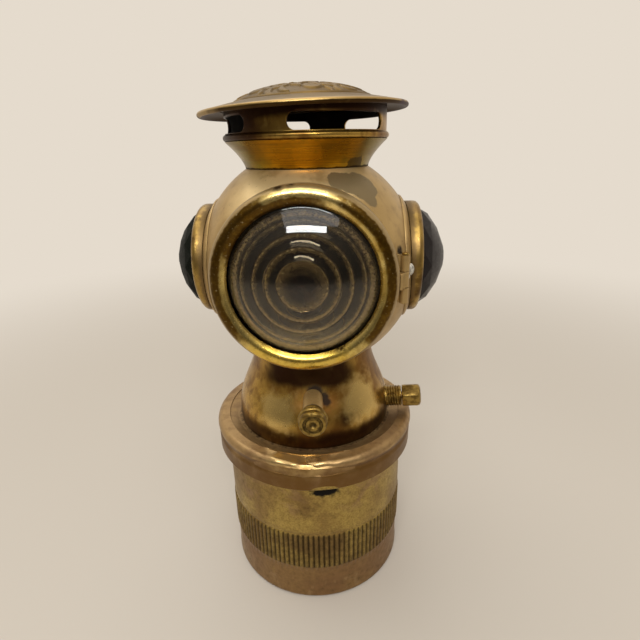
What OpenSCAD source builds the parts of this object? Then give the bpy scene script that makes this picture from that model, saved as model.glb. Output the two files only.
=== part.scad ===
// Carbide bicycle headlamp: a round globe on a bell-shaped water tank, with a carbide cup that
// screws up into the tank's skirt. Origin at the centre of the cup's foot, +Z up, the door faces -Y.

/* [Carbide cup] */
// Outer radius of the cup's wall
cup_r = 29; // [27.5:0.1:30]
// Height of the cup from its foot to its rim
cup_h = 50.6; // [44:0.2:58]
// Thickness of the pressed sheet of the cup, skirt and floor
cup_wall = 0.8; // [0.6:0.05:1]
// Height of the ribbed band above the foot
band_z = 12.6; // [8:0.2:18]
// Width of the ribbed band
band_h = 13.5; // [8:0.5:18]
// Number of ribs round the band
band_ribs = 114; // [60:1:120]
// How far the ribs stand proud of the wall
rib_proud = 0.45; // [0.2:0.05:0.8]
// How far the wall narrows at the foot
foot_round = 1.2; // [0.5:0.1:2]

/* [Generator top] */
// How far the skirt stands out beyond the cup's wall
skirt_over = 3; // [2.4:0.1:5]
// Height of the skirt below the floor of the tank
skirt_h = 7.6; // [6:0.2:9]
// Thickness of the rubber seal
seal_t = 2.6; // [1.5:0.1:4]
// Radius of the rounded shoulder above the skirt
shoulder_round = 2.05; // [1.5:0.05:2.4]
// How far the shoulder stands out beyond the skirt
shoulder_over = 0.25; // [0:0.05:0.6]
// Thickness of the tank's floor
floor_t = 1; // [0.8:0.05:1.4]
// Width of the key notch in the skirt's edge
notch_w = 7.5; // [4:0.5:12]
// Radius of the pan that holds the gas filter
filter_r = 24; // [18:0.5:24.4]
// Depth of the pan that holds the gas filter
filter_h = 3.8; // [2.5:0.1:5]

/* [Water tank] */
// Widest outer radius of the bell
bell_r = 24.5; // [23:0.1:25.5]
// Outer radius of the bell's neck, under the globe
neck_r = 18.7; // [17.6:0.1:20]
// Height of the bell from its floor to the globe
bell_h = 24.6; // [22:0.2:30]
// Height of the bell's belly above its floor
belly_h = 3.8; // [2:0.2:5]
// Thickness of the bell's sheet
bell_wall = 0.8; // [0.6:0.05:1]
// Outer radius of the gas tube up the middle of the tank
gas_tube_r = 3; // [2.4:0.1:4]
// How far the drip tube stands off the lamp's axis
drip_x = 9; // [7.5:0.5:12]
// Outer radius of the drip tube
drip_r = 2.2; // [1.8:0.1:2.6]
// Height of the drip tube's end above the cup's floor
drip_end = 14; // [8:0.5:30]

/* [Globe] */
// Outer radius of the globe
globe_r = 31.7; // [31:0.1:34]
// Thickness of the globe's sheet
globe_wall = 0.8; // [0.6:0.05:1]
// Radius of the mouth behind the door
mouth_r = 22.4; // [21.6:0.1:22.6]
// Radius of the opening into the chimney
flue_r = 15.6; // [12:0.1:15.8]

/* [Door] */
// Outer radius of the door's ring
door_r = 24.15; // [23.9:0.05:24.3]
// Radius of the ring's rounded face
door_round = 2.65; // [2.3:0.05:2.9]
// Height of the rounded face's centre above the globe's surface at the ring
door_h = 3.66; // [3.4:0.02:5]
// Thickness of the ring's sheet
door_wall = 0.7; // [0.6:0.05:0.9]
// How far the lens bulges out of the door
lens_bulge = 5.6; // [3:0.1:8]
// Thickness of the lens at its middle
lens_t = 4; // [3:0.1:5]
// Radius of the plain eye in the middle of the lens's back
lens_eye = 6.2; // [3:0.1:9]
// Distance between the steps round the eye
lens_step = 3.2; // [1.8:0.1:4.5]
// Height of each step
step_h = 0.6; // [0.3:0.05:0.8]
// Length of the door's hinge
hinge_l = 12.5; // [9:0.5:16]
// Outer radius of the hinge's knuckles
knuckle_r = 1.15; // [1:0.05:1.3]
// Radius of the hinge pin
hinge_pin_r = 0.6; // [0.45:0.05:0.7]

/* [Side lights] */
// Outer radius of each side bezel
bezel_r = 15.9; // [15:0.1:16.3]
// Radius of the bezel's rolled edge
bezel_round = 1.5; // [1.2:0.05:1.8]
// Height of a bezel above the globe's surface at its edge
bezel_h = 4; // [3.8:0.1:5.5]
// Thickness of a bezel's sheet
bezel_wall = 0.75; // [0.6:0.05:0.9]
// Height of the side lights' axis above the globe's centre
light_rise = 1.2; // [0:0.1:1.6]
// Width of the flange that is soldered to the globe
light_flange_w = 2.5; // [1.7:0.1:3]
// Height of a side glass above its bezel
jewel_h = 7.4; // [4:0.1:9]
// Number of facets round a side glass
jewel_facets = 12; // [8:1:16]

/* [Chimney] */
// Outer radius of the chimney where it meets the globe
collar_r = 17; // [16.6:0.1:18.5]
// Outer radius of the vent ring
vent_r = 21.8; // [21:0.1:24]
// Height of the flared collar
collar_h = 6.9; // [5:0.1:10]
// Height of the vent ring
vent_h = 8.4; // [7.4:0.1:12]
// Number of slots in the vent ring
vent_slots = 4; // [3:1:6]
// Width of the front slot in degrees
front_slot_w = 72; // [50:1:80]
// Width of each other slot in degrees
slot_w = 55; // [40:1:64]
// Height of a slot
slot_h = 3.9; // [2.5:0.1:4.5]
// Thickness of the chimney's sheet
flue_wall = 0.7; // [0.6:0.05:0.9]
// Radius of the cap's brim
brim_r = 28; // [26:0.1:31]
// Radius of the cap's dome
dome_r = 18.6; // [15:0.1:20]
// Rise of the dome above the brim
dome_h = 4.3; // [2:0.1:7]
// Slope of the brim in degrees
brim_slope = 12; // [5:1:16]
// How far the soldered chimney leans to one side, in degrees
crown_lean = 0.2; // [0:0.1:3]
// How far the cap leans to the same side, in degrees
cap_lean = 1.8; // [0:0.1:2.4]

/* [Fittings] */
// Height of the filler spout above the tank's floor
filler_z = 14.6; // [13:0.2:16]
// Angle of the filler spout round the tank, in degrees
filler_turn = 3.5; // [0:0.5:20]
// Outer radius of the filler spout
spout_r = 2.85; // [2.4:0.05:3.2]
// Length of the spout outside the bell's belly
spout_l = 4.2; // [2:0.1:6]
// Radius of the filler plug's head
plug_r = 4.05; // [3.4:0.05:4.5]
// Height above the tank's floor at which the valve's line meets the lamp's axis
valve_z = 2.8; // [2.6:0.1:4]
// Upward slope of the valve in degrees
valve_rise = 6; // [4:0.5:8]
// Angle of the valve round the tank, in degrees
valve_turn = -6; // [-15:0.5:15]
// Outer radius of the valve's threaded nipple
nipple_r = 3.4; // [2.8:0.1:3.6]
// Length of the nipple outside the bell's belly
nipple_l = 4.6; // [3:0.1:7]
// Radius of the valve's spindle
spindle_r = 1.2; // [1:0.05:1.5]
// Radius to the corners of the valve's six-sided knob
knob_r = 3.7; // [3.6:0.05:3.95]
// Length of the valve's knob
knob_l = 6; // [5:0.1:9]

/* [Bracket] */
// Inner width of the bracket's socket
socket_w = 19.5; // [16:0.5:24]
// Inner depth of the bracket's socket
socket_d = 4.8; // [4.4:0.1:7]
// Height of the bracket's socket
socket_h = 24; // [16:1:30]
// Thickness of the socket's wall
socket_wall = 1.4; // [1:0.1:2]
// Width of the saddle that joins the socket to the globe
saddle_w = 16; // [12:1:18]
// Radius of the clamp screw
clamp_r = 2; // [1.5:0.1:2.4]
// Radius of the clamp screw's head
clamp_head_r = 4.8; // [4:0.1:6]
// Travel of the clamp screw
clamp_travel = 2; // [1:0.1:3]

/* [Burner and reflector] */
// Height of the burner's tip above the tank's top
burner_h = 17; // [12:0.5:22]
// Radius of the reflector
reflector_r = 19.5; // [15:0.5:20.5]
// Distance of the reflector's bottom behind the burner
reflector_y = 23; // [18:0.5:25]
// Focal length of the reflector
reflector_focus = 24; // [20:1:40]
// Thickness of the reflector's sheet
reflector_t = 0.6; // [0.5:0.05:1]

/* [Hidden] */

$fn = 96;
solder = 0.05;      // gap that solder fills between joined sheets
running = 0.06;     // radial clearance of a turning pin or spindle
thread_gap = 0.4;   // radial clearance of the cup inside the skirt
door_gap = 0.3;     // clearance of the door round the globe
brass = "#a8874a";
old_brass = "#8f6f48";
bright_brass = "#c29a3c";
far = 200;
grip = 3;           // how far a soldered fitting reaches inside the tank's wall

// Height of the globe's surface above its own middle, at distance r from an axis through it
function on_globe(r, radius = globe_r) = sqrt(pow(radius, 2) - pow(r, 2));

// Heights from the foot up
floor_z = cup_h + seal_t;                                   // underside of the tank's floor
tank_z = floor_z + floor_t;                                 // top of the floor, where the bell sits
bell_top = tank_z + bell_h;
globe_z = bell_top + on_globe(neck_r);
collar_z = globe_z + on_globe(collar_r);
vent_z = collar_z + collar_h;

// Points of an arc about [cx, cz], from angle a0 to angle a1
function arc(cx, cz, r, a0, a1, steps = 10) =
    [for (i = [0:steps]) let (a = a0 + (a1 - a0) * i / steps) [cx + r * cos(a), cz + r * sin(a)]];

module turned(points) {
    rotate_extrude() polygon(points);
}

module tube(r_out, r_in, h) {
    difference() {
        cylinder(r = r_out, h = h);
        translate([0, 0, -1]) cylinder(r = r_in, h = h + 2);
    }
}

// Places a shape whose axis points out of the globe's front
module to_front() {
    translate([0, 0, globe_z]) rotate([90, 0, 0]) children();
}

// Places a shape whose axis points out of the globe's side: 1 is the right and -1 the left
module to_side(side) {
    mirror([side > 0 ? 1 : 0, 0, 0]) translate([0, 0, globe_z + light_rise]) rotate([0, -90, 0]) children();
}

// The cup: a pressed shell with a rolled ribbed band, and a neck that screws into the skirt
skirt_r = cup_r + skirt_over;
skirt_in = skirt_r - cup_wall;
neck_out = skirt_in - thread_gap;
neck_h = skirt_h - seal_t + 0.6;         // the neck starts just under the skirt's edge
seal_in = filter_r + cup_wall + 0.6;     // inner edge of the seal and of the cup's rim

rib_pitch = 360 / band_ribs;
rib_outline = [for (i = [0:band_ribs - 1], p = [[0.1, 0], [0.3, 1], [0.6, 1], [0.8, 0]])
    let (r = cup_r - 0.15 + p[1] * (rib_proud + 0.15), a = (i + p[0]) * rib_pitch) [r * cos(a), r * sin(a)]];

module carbide_cup() {
    rim = seal_in + 0.5;
    neck_z = cup_h - neck_h;
    flare = 1.8;
    color(old_brass) {
        turned(concat(
            [[0, 0]],
            arc(cup_r - foot_round, foot_round, foot_round, -90, 0, 5),
            [
                [cup_r, band_z + band_h], [cup_r + 0.2, band_z + band_h + 0.6],
                [cup_r + 0.2, neck_z - flare], [neck_out, neck_z],
                [neck_out, cup_h], [rim, cup_h], [rim, cup_h - cup_wall],
                [neck_out - cup_wall, cup_h - cup_wall], [neck_out - cup_wall, neck_z],
                [cup_r + 0.2 - cup_wall, neck_z - flare],
                [cup_r - cup_wall, band_z + band_h], [cup_r - cup_wall, foot_round],
                [cup_r - foot_round, cup_wall], [0, cup_wall]
            ]));
        translate([0, 0, band_z]) linear_extrude(band_h) difference() {
            polygon(rib_outline);
            circle(r = cup_r - cup_wall / 2);
        }
    }
}

module cup_seal() {
    color("#3a3532") translate([0, 0, cup_h]) tube(neck_out - 0.1, seal_in, seal_t);
}

// The floor of the tank, with its dished rim, rounded shoulder and skirt
shoulder_r = skirt_r + shoulder_over - shoulder_round;
shoulder_z = tank_z - 0.9;

module generator_top() {
    dish = 2;
    color(old_brass) difference() {
        turned(concat(
            [
                [0, floor_z], [skirt_in, floor_z], [skirt_in, floor_z - skirt_h],
                [skirt_r, floor_z - skirt_h], [skirt_r, shoulder_z - 2.9], [skirt_r - 0.3, shoulder_z - 2.3],
                [skirt_r - 0.3, shoulder_z - 1.6]
            ],
            arc(shoulder_r, shoulder_z, shoulder_round, -25, 90, 8),
            [
                [shoulder_r - dish, shoulder_z + shoulder_round - 0.15],
                [bell_r + 0.3, tank_z], [0, tank_z]
            ]));
        translate([0, 0, floor_z - 1]) cylinder(r = gas_tube_r + solder, h = floor_t + 2);
        at_drip() translate([0, 0, floor_z - 1]) cylinder(r = drip_r + solder, h = floor_t + 2);
        // the key notch, a little to the right of the front
        rotate([0, 0, filler_turn + 5]) translate([0, -skirt_r, floor_z - skirt_h])
            rotate([90, 0, 0]) scale([notch_w / 3, 1, 1]) cylinder(r = 1.5, h = 6, center = true);
    }
}

// A shallow perforated pan holds the felt under the gas tube's foot
module filter_pan() {
    pan_z = floor_z - filter_h;
    color(brass) difference() {
        translate([0, 0, pan_z]) cylinder(r = filter_r, h = filter_h - solder);
        translate([0, 0, pan_z + cup_wall]) cylinder(r = filter_r - cup_wall, h = filter_h);
        at_drip() translate([0, 0, pan_z - 1]) cylinder(r = drip_r + running, h = filter_h);
        for (a = [0:30:330])
            rotate([0, 0, a + 15]) translate([filter_r * 0.7, 0, pan_z - 1]) cylinder(r = 1.1, h = cup_wall + 2);
        for (a = [60:60:300])
            rotate([0, 0, a]) translate([filter_r * 0.38, 0, pan_z - 1]) cylinder(r = 1.1, h = cup_wall + 2);
    }
}

module filter_felt() {
    felt_z = floor_z - filter_h + cup_wall + solder;
    color("#b9ad93") difference() {
        translate([0, 0, felt_z]) cylinder(r = filter_r - cup_wall - 0.2, h = floor_z - felt_z - 0.2);
        at_drip() translate([0, 0, felt_z - 1]) cylinder(r = drip_r + 0.2, h = filter_h + 2);
    }
}

// The bell follows a cosine from its belly to its neck
function bell_out(z) = z < belly_h
    ? bell_r - 0.3 * pow(1 - z / belly_h, 2)
    : neck_r + (bell_r - neck_r) * (1 + cos(180 * (z - belly_h) / (bell_h - belly_h))) / 2;

module tank_shell() {
    steps = 22;
    over = 1.5;
    top = bell_h + over;
    heights = [for (i = [0:steps]) bell_h * i / steps];
    color(brass) difference() {
        turned(concat(
            [for (z = heights) [bell_out(z), tank_z + z]],
            [[neck_r, tank_z + top], [neck_r - bell_wall, tank_z + top]],
            [for (i = [steps:-1:0]) [bell_out(heights[i]) - bell_wall, tank_z + heights[i]]]));
        translate([0, 0, globe_z]) sphere(r = globe_r + solder);
        at_valve() cylinder(r = nipple_r + solder, h = far);
        rotate([0, 0, filler_turn]) translate([0, 0, tank_z + filler_z]) rotate([90, 0, 0])
            cylinder(r = spout_r + solder, h = far);
    }
}

tank_top_z = bell_top - 2.2;

module tank_top() {
    color(brass) difference() {
        union() {
            translate([0, 0, tank_top_z]) cylinder(r = bell_out(bell_h - 2.2 + bell_wall) - bell_wall - 0.1, h = bell_wall);
            translate([0, 0, tank_top_z]) cylinder(r = gas_tube_r + solder + bell_wall, h = 2.4);
        }
        translate([0, 0, tank_top_z - 1]) cylinder(r = gas_tube_r + solder, h = 6);
    }
}

gas_top = tank_top_z + burner_h - 10;

module gas_tube() {
    color(brass) translate([0, 0, floor_z]) tube(gas_tube_r, gas_tube_r - cup_wall, gas_top - floor_z);
}

// The drip tube stands in the floor, and the valve's needle closes a port in its side
drip_wall = 1.1;
port_r = 0.8;
port_z = tank_z + valve_z + drip_x * tan(valve_rise);

module at_drip() {
    rotate([0, 0, valve_turn]) translate([drip_x, 0, 0]) children();
}

module drip_tube() {
    top = port_z + 2.4;
    color(brass) difference() {
        at_drip() translate([0, 0, drip_end]) cylinder(r = drip_r, h = top - drip_end);
        at_drip() translate([0, 0, drip_end - 1]) cylinder(r = drip_r - drip_wall, h = port_z - drip_end + 2.3);
        at_valve() translate([0, 0, drip_x / cos(valve_rise)]) cylinder(r = port_r, h = drip_r + 1);
    }
}

module burner_holder() {
    bottom = gas_top - 3;
    top = gas_top + 6;
    sleeve = gas_tube_r + 1.1;
    color(bright_brass) difference() {
        turned([
            [0, bottom], [sleeve, bottom], [sleeve, gas_top + 1], [sleeve - 0.6, gas_top + 1.6],
            [sleeve - 0.6, gas_top + 2.6], [2.6, gas_top + 4], [2.6, top], [0, top]
        ]);
        translate([0, 0, bottom - 1]) cylinder(r = gas_tube_r + solder, h = 4);
        translate([0, 0, bottom]) cylinder(r = 1, h = 20);
    }
}

// A steatite tip whose two arms throw their jets against each other
module burner_tip() {
    base = gas_top + 6;
    arm_l = 4.6;
    color("#d8cdb4") difference() {
        union() {
            translate([0, 0, base]) cylinder(r = 2.3, h = 3.2);
            translate([0, 0, base - 2]) cylinder(r = 1 - solder, h = 3);
            for (side = [-1, 1])
                translate([0, 0, base + 2]) rotate([0, side * 42, 0]) {
                    cylinder(r = 1.25, h = arm_l);
                    translate([0, 0, arm_l]) sphere(r = 1.25);
                }
        }
        for (side = [-1, 1])
            translate([0, 0, base + 2]) rotate([0, side * 42, 0]) translate([0, 0, arm_l])
                rotate([0, -side * 87, 0]) cylinder(r = 0.3, h = 3);
    }
}

module reflector() {
    steps = 12;
    function dish(r) = -reflector_y + r * r / (4 * reflector_focus);
    color("#b9b4a4") to_front() turned(concat(
        [for (i = [0:steps]) let (r = reflector_r * i / steps) [r, dish(r)]],
        [for (i = [steps:-1:0]) let (r = reflector_r * i / steps) [r, dish(r) - reflector_t]]));
}

module reflector_post() {
    color(brass) intersection() {
        translate([0, reflector_y + reflector_t + solder, globe_z]) rotate([-90, 0, 0]) cylinder(r = 2.2, h = far);
        translate([0, 0, globe_z]) sphere(r = globe_r - globe_wall - solder);
    }
}

// The globe: a spun shell with five mouths. The front one is turned in to stiffen it
hinge_x = door_r + knuckle_r + door_gap;
hinge_y = on_globe(hinge_x, globe_r + knuckle_r + door_gap);
seat_out = bezel_r - bezel_wall - solder;
light_flange_r = seat_out + light_flange_w;
leaf_t = 0.7;                             // thickness of the hinge's leaves
leaf_y = hinge_y - 0.3;                   // the fixed leaf lies between this and the side light's flange
knuckle_edge = hinge_y - knuckle_r - 0.3;
rivet_turn = -asin((knuckle_edge + light_flange_r + 0.1) / 2 / (globe_r + leaf_t));

module globe() {
    inner = globe_r - globe_wall;
    lip = 2.5;
    lip_front = on_globe(mouth_r, inner) + 0.3;
    color(brass) difference() {
        union() {
            difference() {
                translate([0, 0, globe_z]) sphere(r = globe_r);
                translate([0, 0, globe_z]) sphere(r = inner);
                to_front() cylinder(r = mouth_r, h = far);
            }
            to_front() translate([0, 0, lip_front - lip]) tube(mouth_r + 0.2, mouth_r - globe_wall, lip);
        }
        translate([0, 0, globe_z]) cylinder(r = flue_r, h = far);
        translate([0, 0, globe_z - far]) cylinder(r = neck_r - 1.2, h = far);
        for (side = [-1, 1]) to_side(side) cylinder(r = side_mouth_r, h = far);
        translate([0, 0, globe_z]) rotate([0, 90, rivet_turn]) cylinder(r = hinge_rivet_r + solder, h = far);
        for (p = saddle_rivets)
            translate([p[0], 0, globe_z + p[1]]) rotate([-90, 0, 0]) cylinder(r = saddle_rivet_r + solder, h = far);
    }
}

// The side lights: a seat on the globe, a bezel over it, a cut glass and its wire spring
bezel_reach = on_globe(bezel_r) + bezel_h;
bezel_d = bezel_reach - bezel_round;      // where the bezel's rolled edge starts
seat_end = bezel_d - 1;
light_wire = 0.25;                        // radius of the spring's wire
jewel_flange = seat_out - 0.1;
jewel_back = seat_end + 2 * light_wire + 0.1;
jewel_front = bezel_reach - bezel_wall - 0.1;
lip_r = bezel_r - bezel_round;
side_mouth_r = seat_out - 1.5;            // hole in the globe behind a side light

module seat_ring() {
    seat_wall = 1.1;
    flange_t = 0.5;
    foot = on_globe(light_flange_r + light_rise) - 1;
    color(brass) difference() {
        union() {
            translate([0, 0, foot]) tube(seat_out, seat_out - seat_wall, seat_end - foot);
            intersection() {
                translate([-light_rise, 0, 0]) sphere(r = globe_r + flange_t);
                translate([0, 0, foot]) tube(light_flange_r, seat_out - seat_wall, seat_end - foot);
            }
        }
        translate([-light_rise, 0, 0]) sphere(r = globe_r + solder);
    }
}

module bezel() {
    skirt = 1.8;
    color(old_brass) difference() {
        turned(concat(
            [[bezel_r - bezel_wall, bezel_d - skirt], [bezel_r, bezel_d - skirt]],
            arc(lip_r, bezel_d, bezel_round, 0, 90, 7),
            arc(lip_r, bezel_d, bezel_round - bezel_wall, 90, 0, 7)));
        translate([-light_rise, 0, 0]) sphere(r = globe_r + 0.6);
    }
}

// Rings of facets, each turned half a step from the one below it, as shares of the radius and height
jewel_tiers = [[0.99, 0.05], [0.87, 0.36], [0.63, 0.7], [0.27, 1]];

module cut_dome(r) {
    n = jewel_facets;
    count = len(jewel_tiers);
    foot = -bezel_wall - 0.4;
    rings = concat([[jewel_tiers[0][0], foot]], [for (t = jewel_tiers) [t[0], t[1] * jewel_h]]);
    points = [for (k = [0:count], i = [0:n - 1]) let (a = 360 * (i + (k % 2) / 2) / n)
        [rings[k][0] * r * cos(a), rings[k][0] * r * sin(a), rings[k][1]]];
    function at(k, i) = k * n + (i + n) % n;
    faces = concat(
        [[for (i = [0:n - 1]) at(0, i)]],
        [[for (i = [n - 1:-1:0]) at(count, i)]],
        [for (k = [0:count - 1], i = [0:n - 1]) [at(k, i), at(k + 1, k % 2 == 0 ? i : i + 1), at(k, i + 1)]],
        [for (k = [0:count - 1], i = [0:n - 1])
            [at(k + 1, i), at(k + 1, i + 1), at(k, k % 2 == 0 ? i + 1 : i)]]);
    polyhedron(points, faces, convexity = 2);
}

module jewel() {
    translate([0, 0, jewel_back]) cylinder(r = jewel_flange, h = bezel_d - jewel_back);
    translate([0, 0, bezel_d]) cylinder(r1 = jewel_flange, r2 = lip_r + 0.15, h = jewel_front - bezel_d);
    translate([0, 0, bezel_reach]) cut_dome(lip_r - 0.15);
}

module jewel_spring() {
    color("#7d7361") translate([0, 0, seat_end + light_wire + 0.05]) rotate_extrude()
        translate([seat_out - 0.55, 0]) circle(r = light_wire, $fn = 16);
}

// The door: a rounded ring, the stepped lens and the wire that holds it
door_reach = on_globe(door_r) + door_h;   // centre of the ring's rounded face
door_tube_r = door_r - door_round;
hollow = door_round - door_wall;
roll_in = 150;                            // how far the rounded face is rolled in, in degrees

module door_ring() {
    color(bright_brass) to_front() difference() {
        turned(concat(
            [[door_r - door_wall, door_reach - 6], [door_r, door_reach - 6]],
            arc(door_tube_r, door_reach, door_round, 0, roll_in, 14),
            arc(door_tube_r, door_reach, hollow, roll_in, 0, 12)));
        sphere(r = globe_r + door_gap);
    }
}

lens_front = door_reach + 0.7;
lens_back = door_reach - 0.5;
lens_r = door_r - door_wall - 0.45;
lens_dome_r = door_tube_r + door_round * cos(roll_in) - 0.3;
front_curve = (pow(lens_dome_r, 2) + pow(lens_bulge, 2)) / (2 * lens_bulge);
back_rise = lens_front + lens_bulge - lens_t - lens_back;
back_curve = (pow(lens_dome_r, 2) + pow(back_rise, 2)) / (2 * back_rise);

// Height of a shallow dome of radius curve, at distance r from its middle
function dome(r, edge, rise, curve) = edge + rise - curve + sqrt(pow(curve, 2) - pow(r, 2));

step_radii = [for (r = [lens_eye:lens_step:lens_dome_r - 1]) r];

module lens() {
    steps = 16;
    color([0.75, 0.76, 0.72, 0.4]) to_front() turned(concat(
        [for (i = [0:steps]) let (r = lens_dome_r * i / steps) [r, dome(r, lens_front, lens_bulge, front_curve)]],
        [[lens_r, lens_front], [lens_r, lens_back], [lens_dome_r, lens_back]],
        [for (i = [len(step_radii) - 1:-1:0], drop = [0, step_h]) let (r = step_radii[i])
            [r, dome(r, lens_back, back_rise, back_curve) - drop]],
        [[0, dome(0, lens_back, back_rise, back_curve)]]));
}

module lens_spring() {
    color("#7d7361") to_front() translate([0, 0, lens_back - 0.55]) rotate_extrude()
        translate([door_r - door_wall - 0.55, 0]) circle(r = 0.5, $fn = 16);
}

// The door's hinge: two fixed knuckles and one on the door, round one pin
hinge_gap = 0.2;
knuckle_l = (hinge_l - 2 * hinge_gap) / 3;
hinge_low = globe_z - hinge_l / 2;
hinge_rivet_r = 0.45;

module at_hinge(z) {
    translate([hinge_x, -hinge_y, z]) children();
}

module hinge_leaf_fixed() {
    web = 0.9;
    color(old_brass) difference() {
        union() {
            intersection() {
                difference() {
                    translate([0, 0, globe_z]) sphere(r = globe_r + solder + leaf_t);
                    translate([0, 0, globe_z]) sphere(r = globe_r + solder);
                }
                translate([0, -leaf_y, hinge_low]) cube([far, leaf_y, hinge_l]);
            }
            difference() {
                at_hinge(hinge_low) translate([-1.5, 0, 0]) cube([1.5, web, hinge_l]);
                translate([0, 0, globe_z]) sphere(r = globe_r + solder);
            }
            at_hinge(hinge_low) cylinder(r = knuckle_r, h = hinge_l);
        }
        translate([0, 0, globe_z + light_rise]) rotate([0, 90, 0]) cylinder(r = light_flange_r + 0.1, h = far);
        at_hinge(hinge_low + knuckle_l) cylinder(r = knuckle_r + 0.3, h = knuckle_l + 2 * hinge_gap);
        at_hinge(hinge_low - 1) cylinder(r = hinge_pin_r + running, h = hinge_l + 2);
        translate([0, 0, globe_z]) rotate([0, 90, rivet_turn]) cylinder(r = hinge_rivet_r + solder, h = far);
    }
}

module hinge_leaf_door() {
    z = hinge_low + knuckle_l + hinge_gap;
    color(bright_brass) difference() {
        union() {
            intersection() {
                to_front() translate([0, 0, hinge_y + 0.7]) tube(door_r + solder + leaf_t, door_r + solder, 2.6);
                translate([0, -far / 2, z]) cube([far, far, knuckle_l]);
            }
            difference() {
                at_hinge(z) translate([-2, -1.9, 0]) cube([2, 1.4, knuckle_l]);
                to_front() cylinder(r = door_r + solder, h = far);
            }
            at_hinge(z) cylinder(r = knuckle_r, h = knuckle_l);
        }
        at_hinge(z - 1) cylinder(r = hinge_pin_r + running, h = knuckle_l + 2);
    }
}

module hinge_pin() {
    color("#7d6a4a") {
        at_hinge(hinge_low - 0.3) cylinder(r = hinge_pin_r, h = hinge_l + 0.6);
        at_hinge(hinge_low + hinge_l + 0.1) cylinder(r = hinge_pin_r + 0.3, h = 0.5);
    }
}

module hinge_rivet() {
    head = globe_r + 2 * solder + leaf_t;
    color("#d8d3c4") translate([0, 0, globe_z]) rotate([0, 90, rivet_turn]) {
        translate([0, 0, globe_r - globe_wall - 0.6]) cylinder(r = hinge_rivet_r, h = leaf_t + globe_wall + 1);
        intersection() {
            translate([0, 0, head - 0.35]) sphere(r = 1.05);
            translate([0, 0, head]) cylinder(r = 3, h = 3);
        }
    }
}

// The chimney leans as one piece about the globe's centre, so its foot stays seated on the globe.
// The cap leans more, about a point inside the globe, and the vent ring's top is cut to meet it
module leaning(angle = crown_lean, pivot = globe_z) {
    translate([0, 0, pivot]) rotate([0, -angle, 0]) translate([0, 0, -pivot]) children();
}

cap_pivot = globe_z + globe_r / 2;
cap_seat_z = vent_z + vent_h + solder;
cap_shift = 0.8;                          // how far the leaning moves the ring off the cap's middle

bead_r = vent_r + 0.7;
bead_h = 1.7;
function flare(t) = collar_r + (vent_r + 0.3 - collar_r) * pow(t, 1.5);

module chimney_collar() {
    steps = 12;
    color(bright_brass) leaning() difference() {
        turned(concat(
            [[collar_r - flue_wall, collar_z - 2], [collar_r, collar_z - 2]],
            [for (i = [0:steps]) [flare(i / steps), collar_z + collar_h * i / steps]],
            [for (i = [steps:-1:0]) [flare(i / steps) - flue_wall, collar_z + collar_h * i / steps]]));
        translate([0, 0, globe_z]) sphere(r = globe_r + solder);
    }
}

// The slots, wider in front, leave equal webs between them. Their widths are those of a ring with four
slot_turn = -61.4;                        // where the front slot's middle stands
slot_share = 4 / vent_slots;
web_w = (360 - slot_share * (front_slot_w + (vent_slots - 1) * slot_w)) / vent_slots;
function slot_half(k) = slot_share * (k == 0 ? front_slot_w : slot_w) / 2;
function slot_place(k) = k == 0 ? slot_turn : slot_place(k - 1) + slot_half(k - 1) + web_w + slot_half(k);

module vent_ring() {
    top = vent_z + vent_h + vent_r * sin(cap_lean);
    slot_z = vent_z + bead_h + 0.3 + slot_h / 2;
    round_end = asin(slot_h / 2 / vent_r);
    color(brass) difference() {
        leaning() turned(concat(
            [[vent_r - flue_wall, vent_z + solder], [bead_r - 0.5, vent_z + solder]],
            arc(bead_r - bead_h / 2, vent_z + solder + bead_h / 2, bead_h / 2, -60, 60, 6),
            [[vent_r, vent_z + bead_h + 0.15], [vent_r, top], [vent_r - flue_wall, top]]));
        leaning(cap_lean, cap_pivot) translate([-far / 2, -far / 2, cap_seat_z - solder]) cube([far, far, 10]);
        leaning() for (k = [0:vent_slots - 1]) let (end_turn = slot_half(k) - round_end) rotate([0, 0, slot_place(k)]) {
            rotate([0, 0, -end_turn]) rotate_extrude(angle = 2 * end_turn)
                translate([vent_r - 2, slot_z - slot_h / 2]) square([4, slot_h]);
            for (side = [-1, 1])
                rotate([0, 0, side * end_turn]) translate([vent_r - 2, 0, slot_z]) rotate([0, 90, 0])
                    cylinder(r = slot_h / 2, h = 4);
        }
    }
}

// The cap's brim rises to the dome, and its edge is rolled under
brim_roll = 0.65;

module cap() {
    seat_out = vent_r + cap_shift;
    seat_in = vent_r - flue_wall - cap_shift;
    steps = 14;
    function brim(r) = cap_seat_z + (vent_r - r) * tan(brim_slope);
    // the dome's curve lies between half an ellipse, with a power of 0.5, and a parabola, with one of 1
    function skin(r, t) = [r * t, brim(dome_r) + dome_h * pow(1 - t * t, 0.72)];
    roll_r = brim_r - brim_roll;
    color(old_brass) leaning(cap_lean, cap_pivot) turned(concat(
        [for (i = [0:steps]) skin(dome_r, sin(90 * i / steps)) + [0, flue_wall]],
        [[roll_r - 0.3, brim(roll_r - 0.3) + flue_wall]],
        arc(roll_r, brim(roll_r) + flue_wall - brim_roll, brim_roll, 80, -150, 8),
        [
            [roll_r - 1.2, brim(roll_r - 1.2)], [seat_out, brim(seat_out)], [seat_out, cap_seat_z],
            [seat_in, cap_seat_z], [seat_in, brim(seat_in)]
        ],
        [for (i = [steps:-1:0]) skin(dome_r - flue_wall, sin(90 * i / steps))]));
}

// The filler: a spout in the front of the bell, a leather washer and a screw plug
module at_filler() {
    rotate([0, 0, filler_turn]) translate([0, 0, tank_z + filler_z]) rotate([90, 0, 0]) children();
}

spout_end = bell_r + spout_l;
washer_t = 0.6;
shank_r = spout_r - 0.95;

module filler_spout() {
    color(brass) at_filler() translate([0, 0, bell_out(filler_z) - grip])
        tube(spout_r, shank_r + 0.3, spout_end - bell_out(filler_z) + grip);
}

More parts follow.
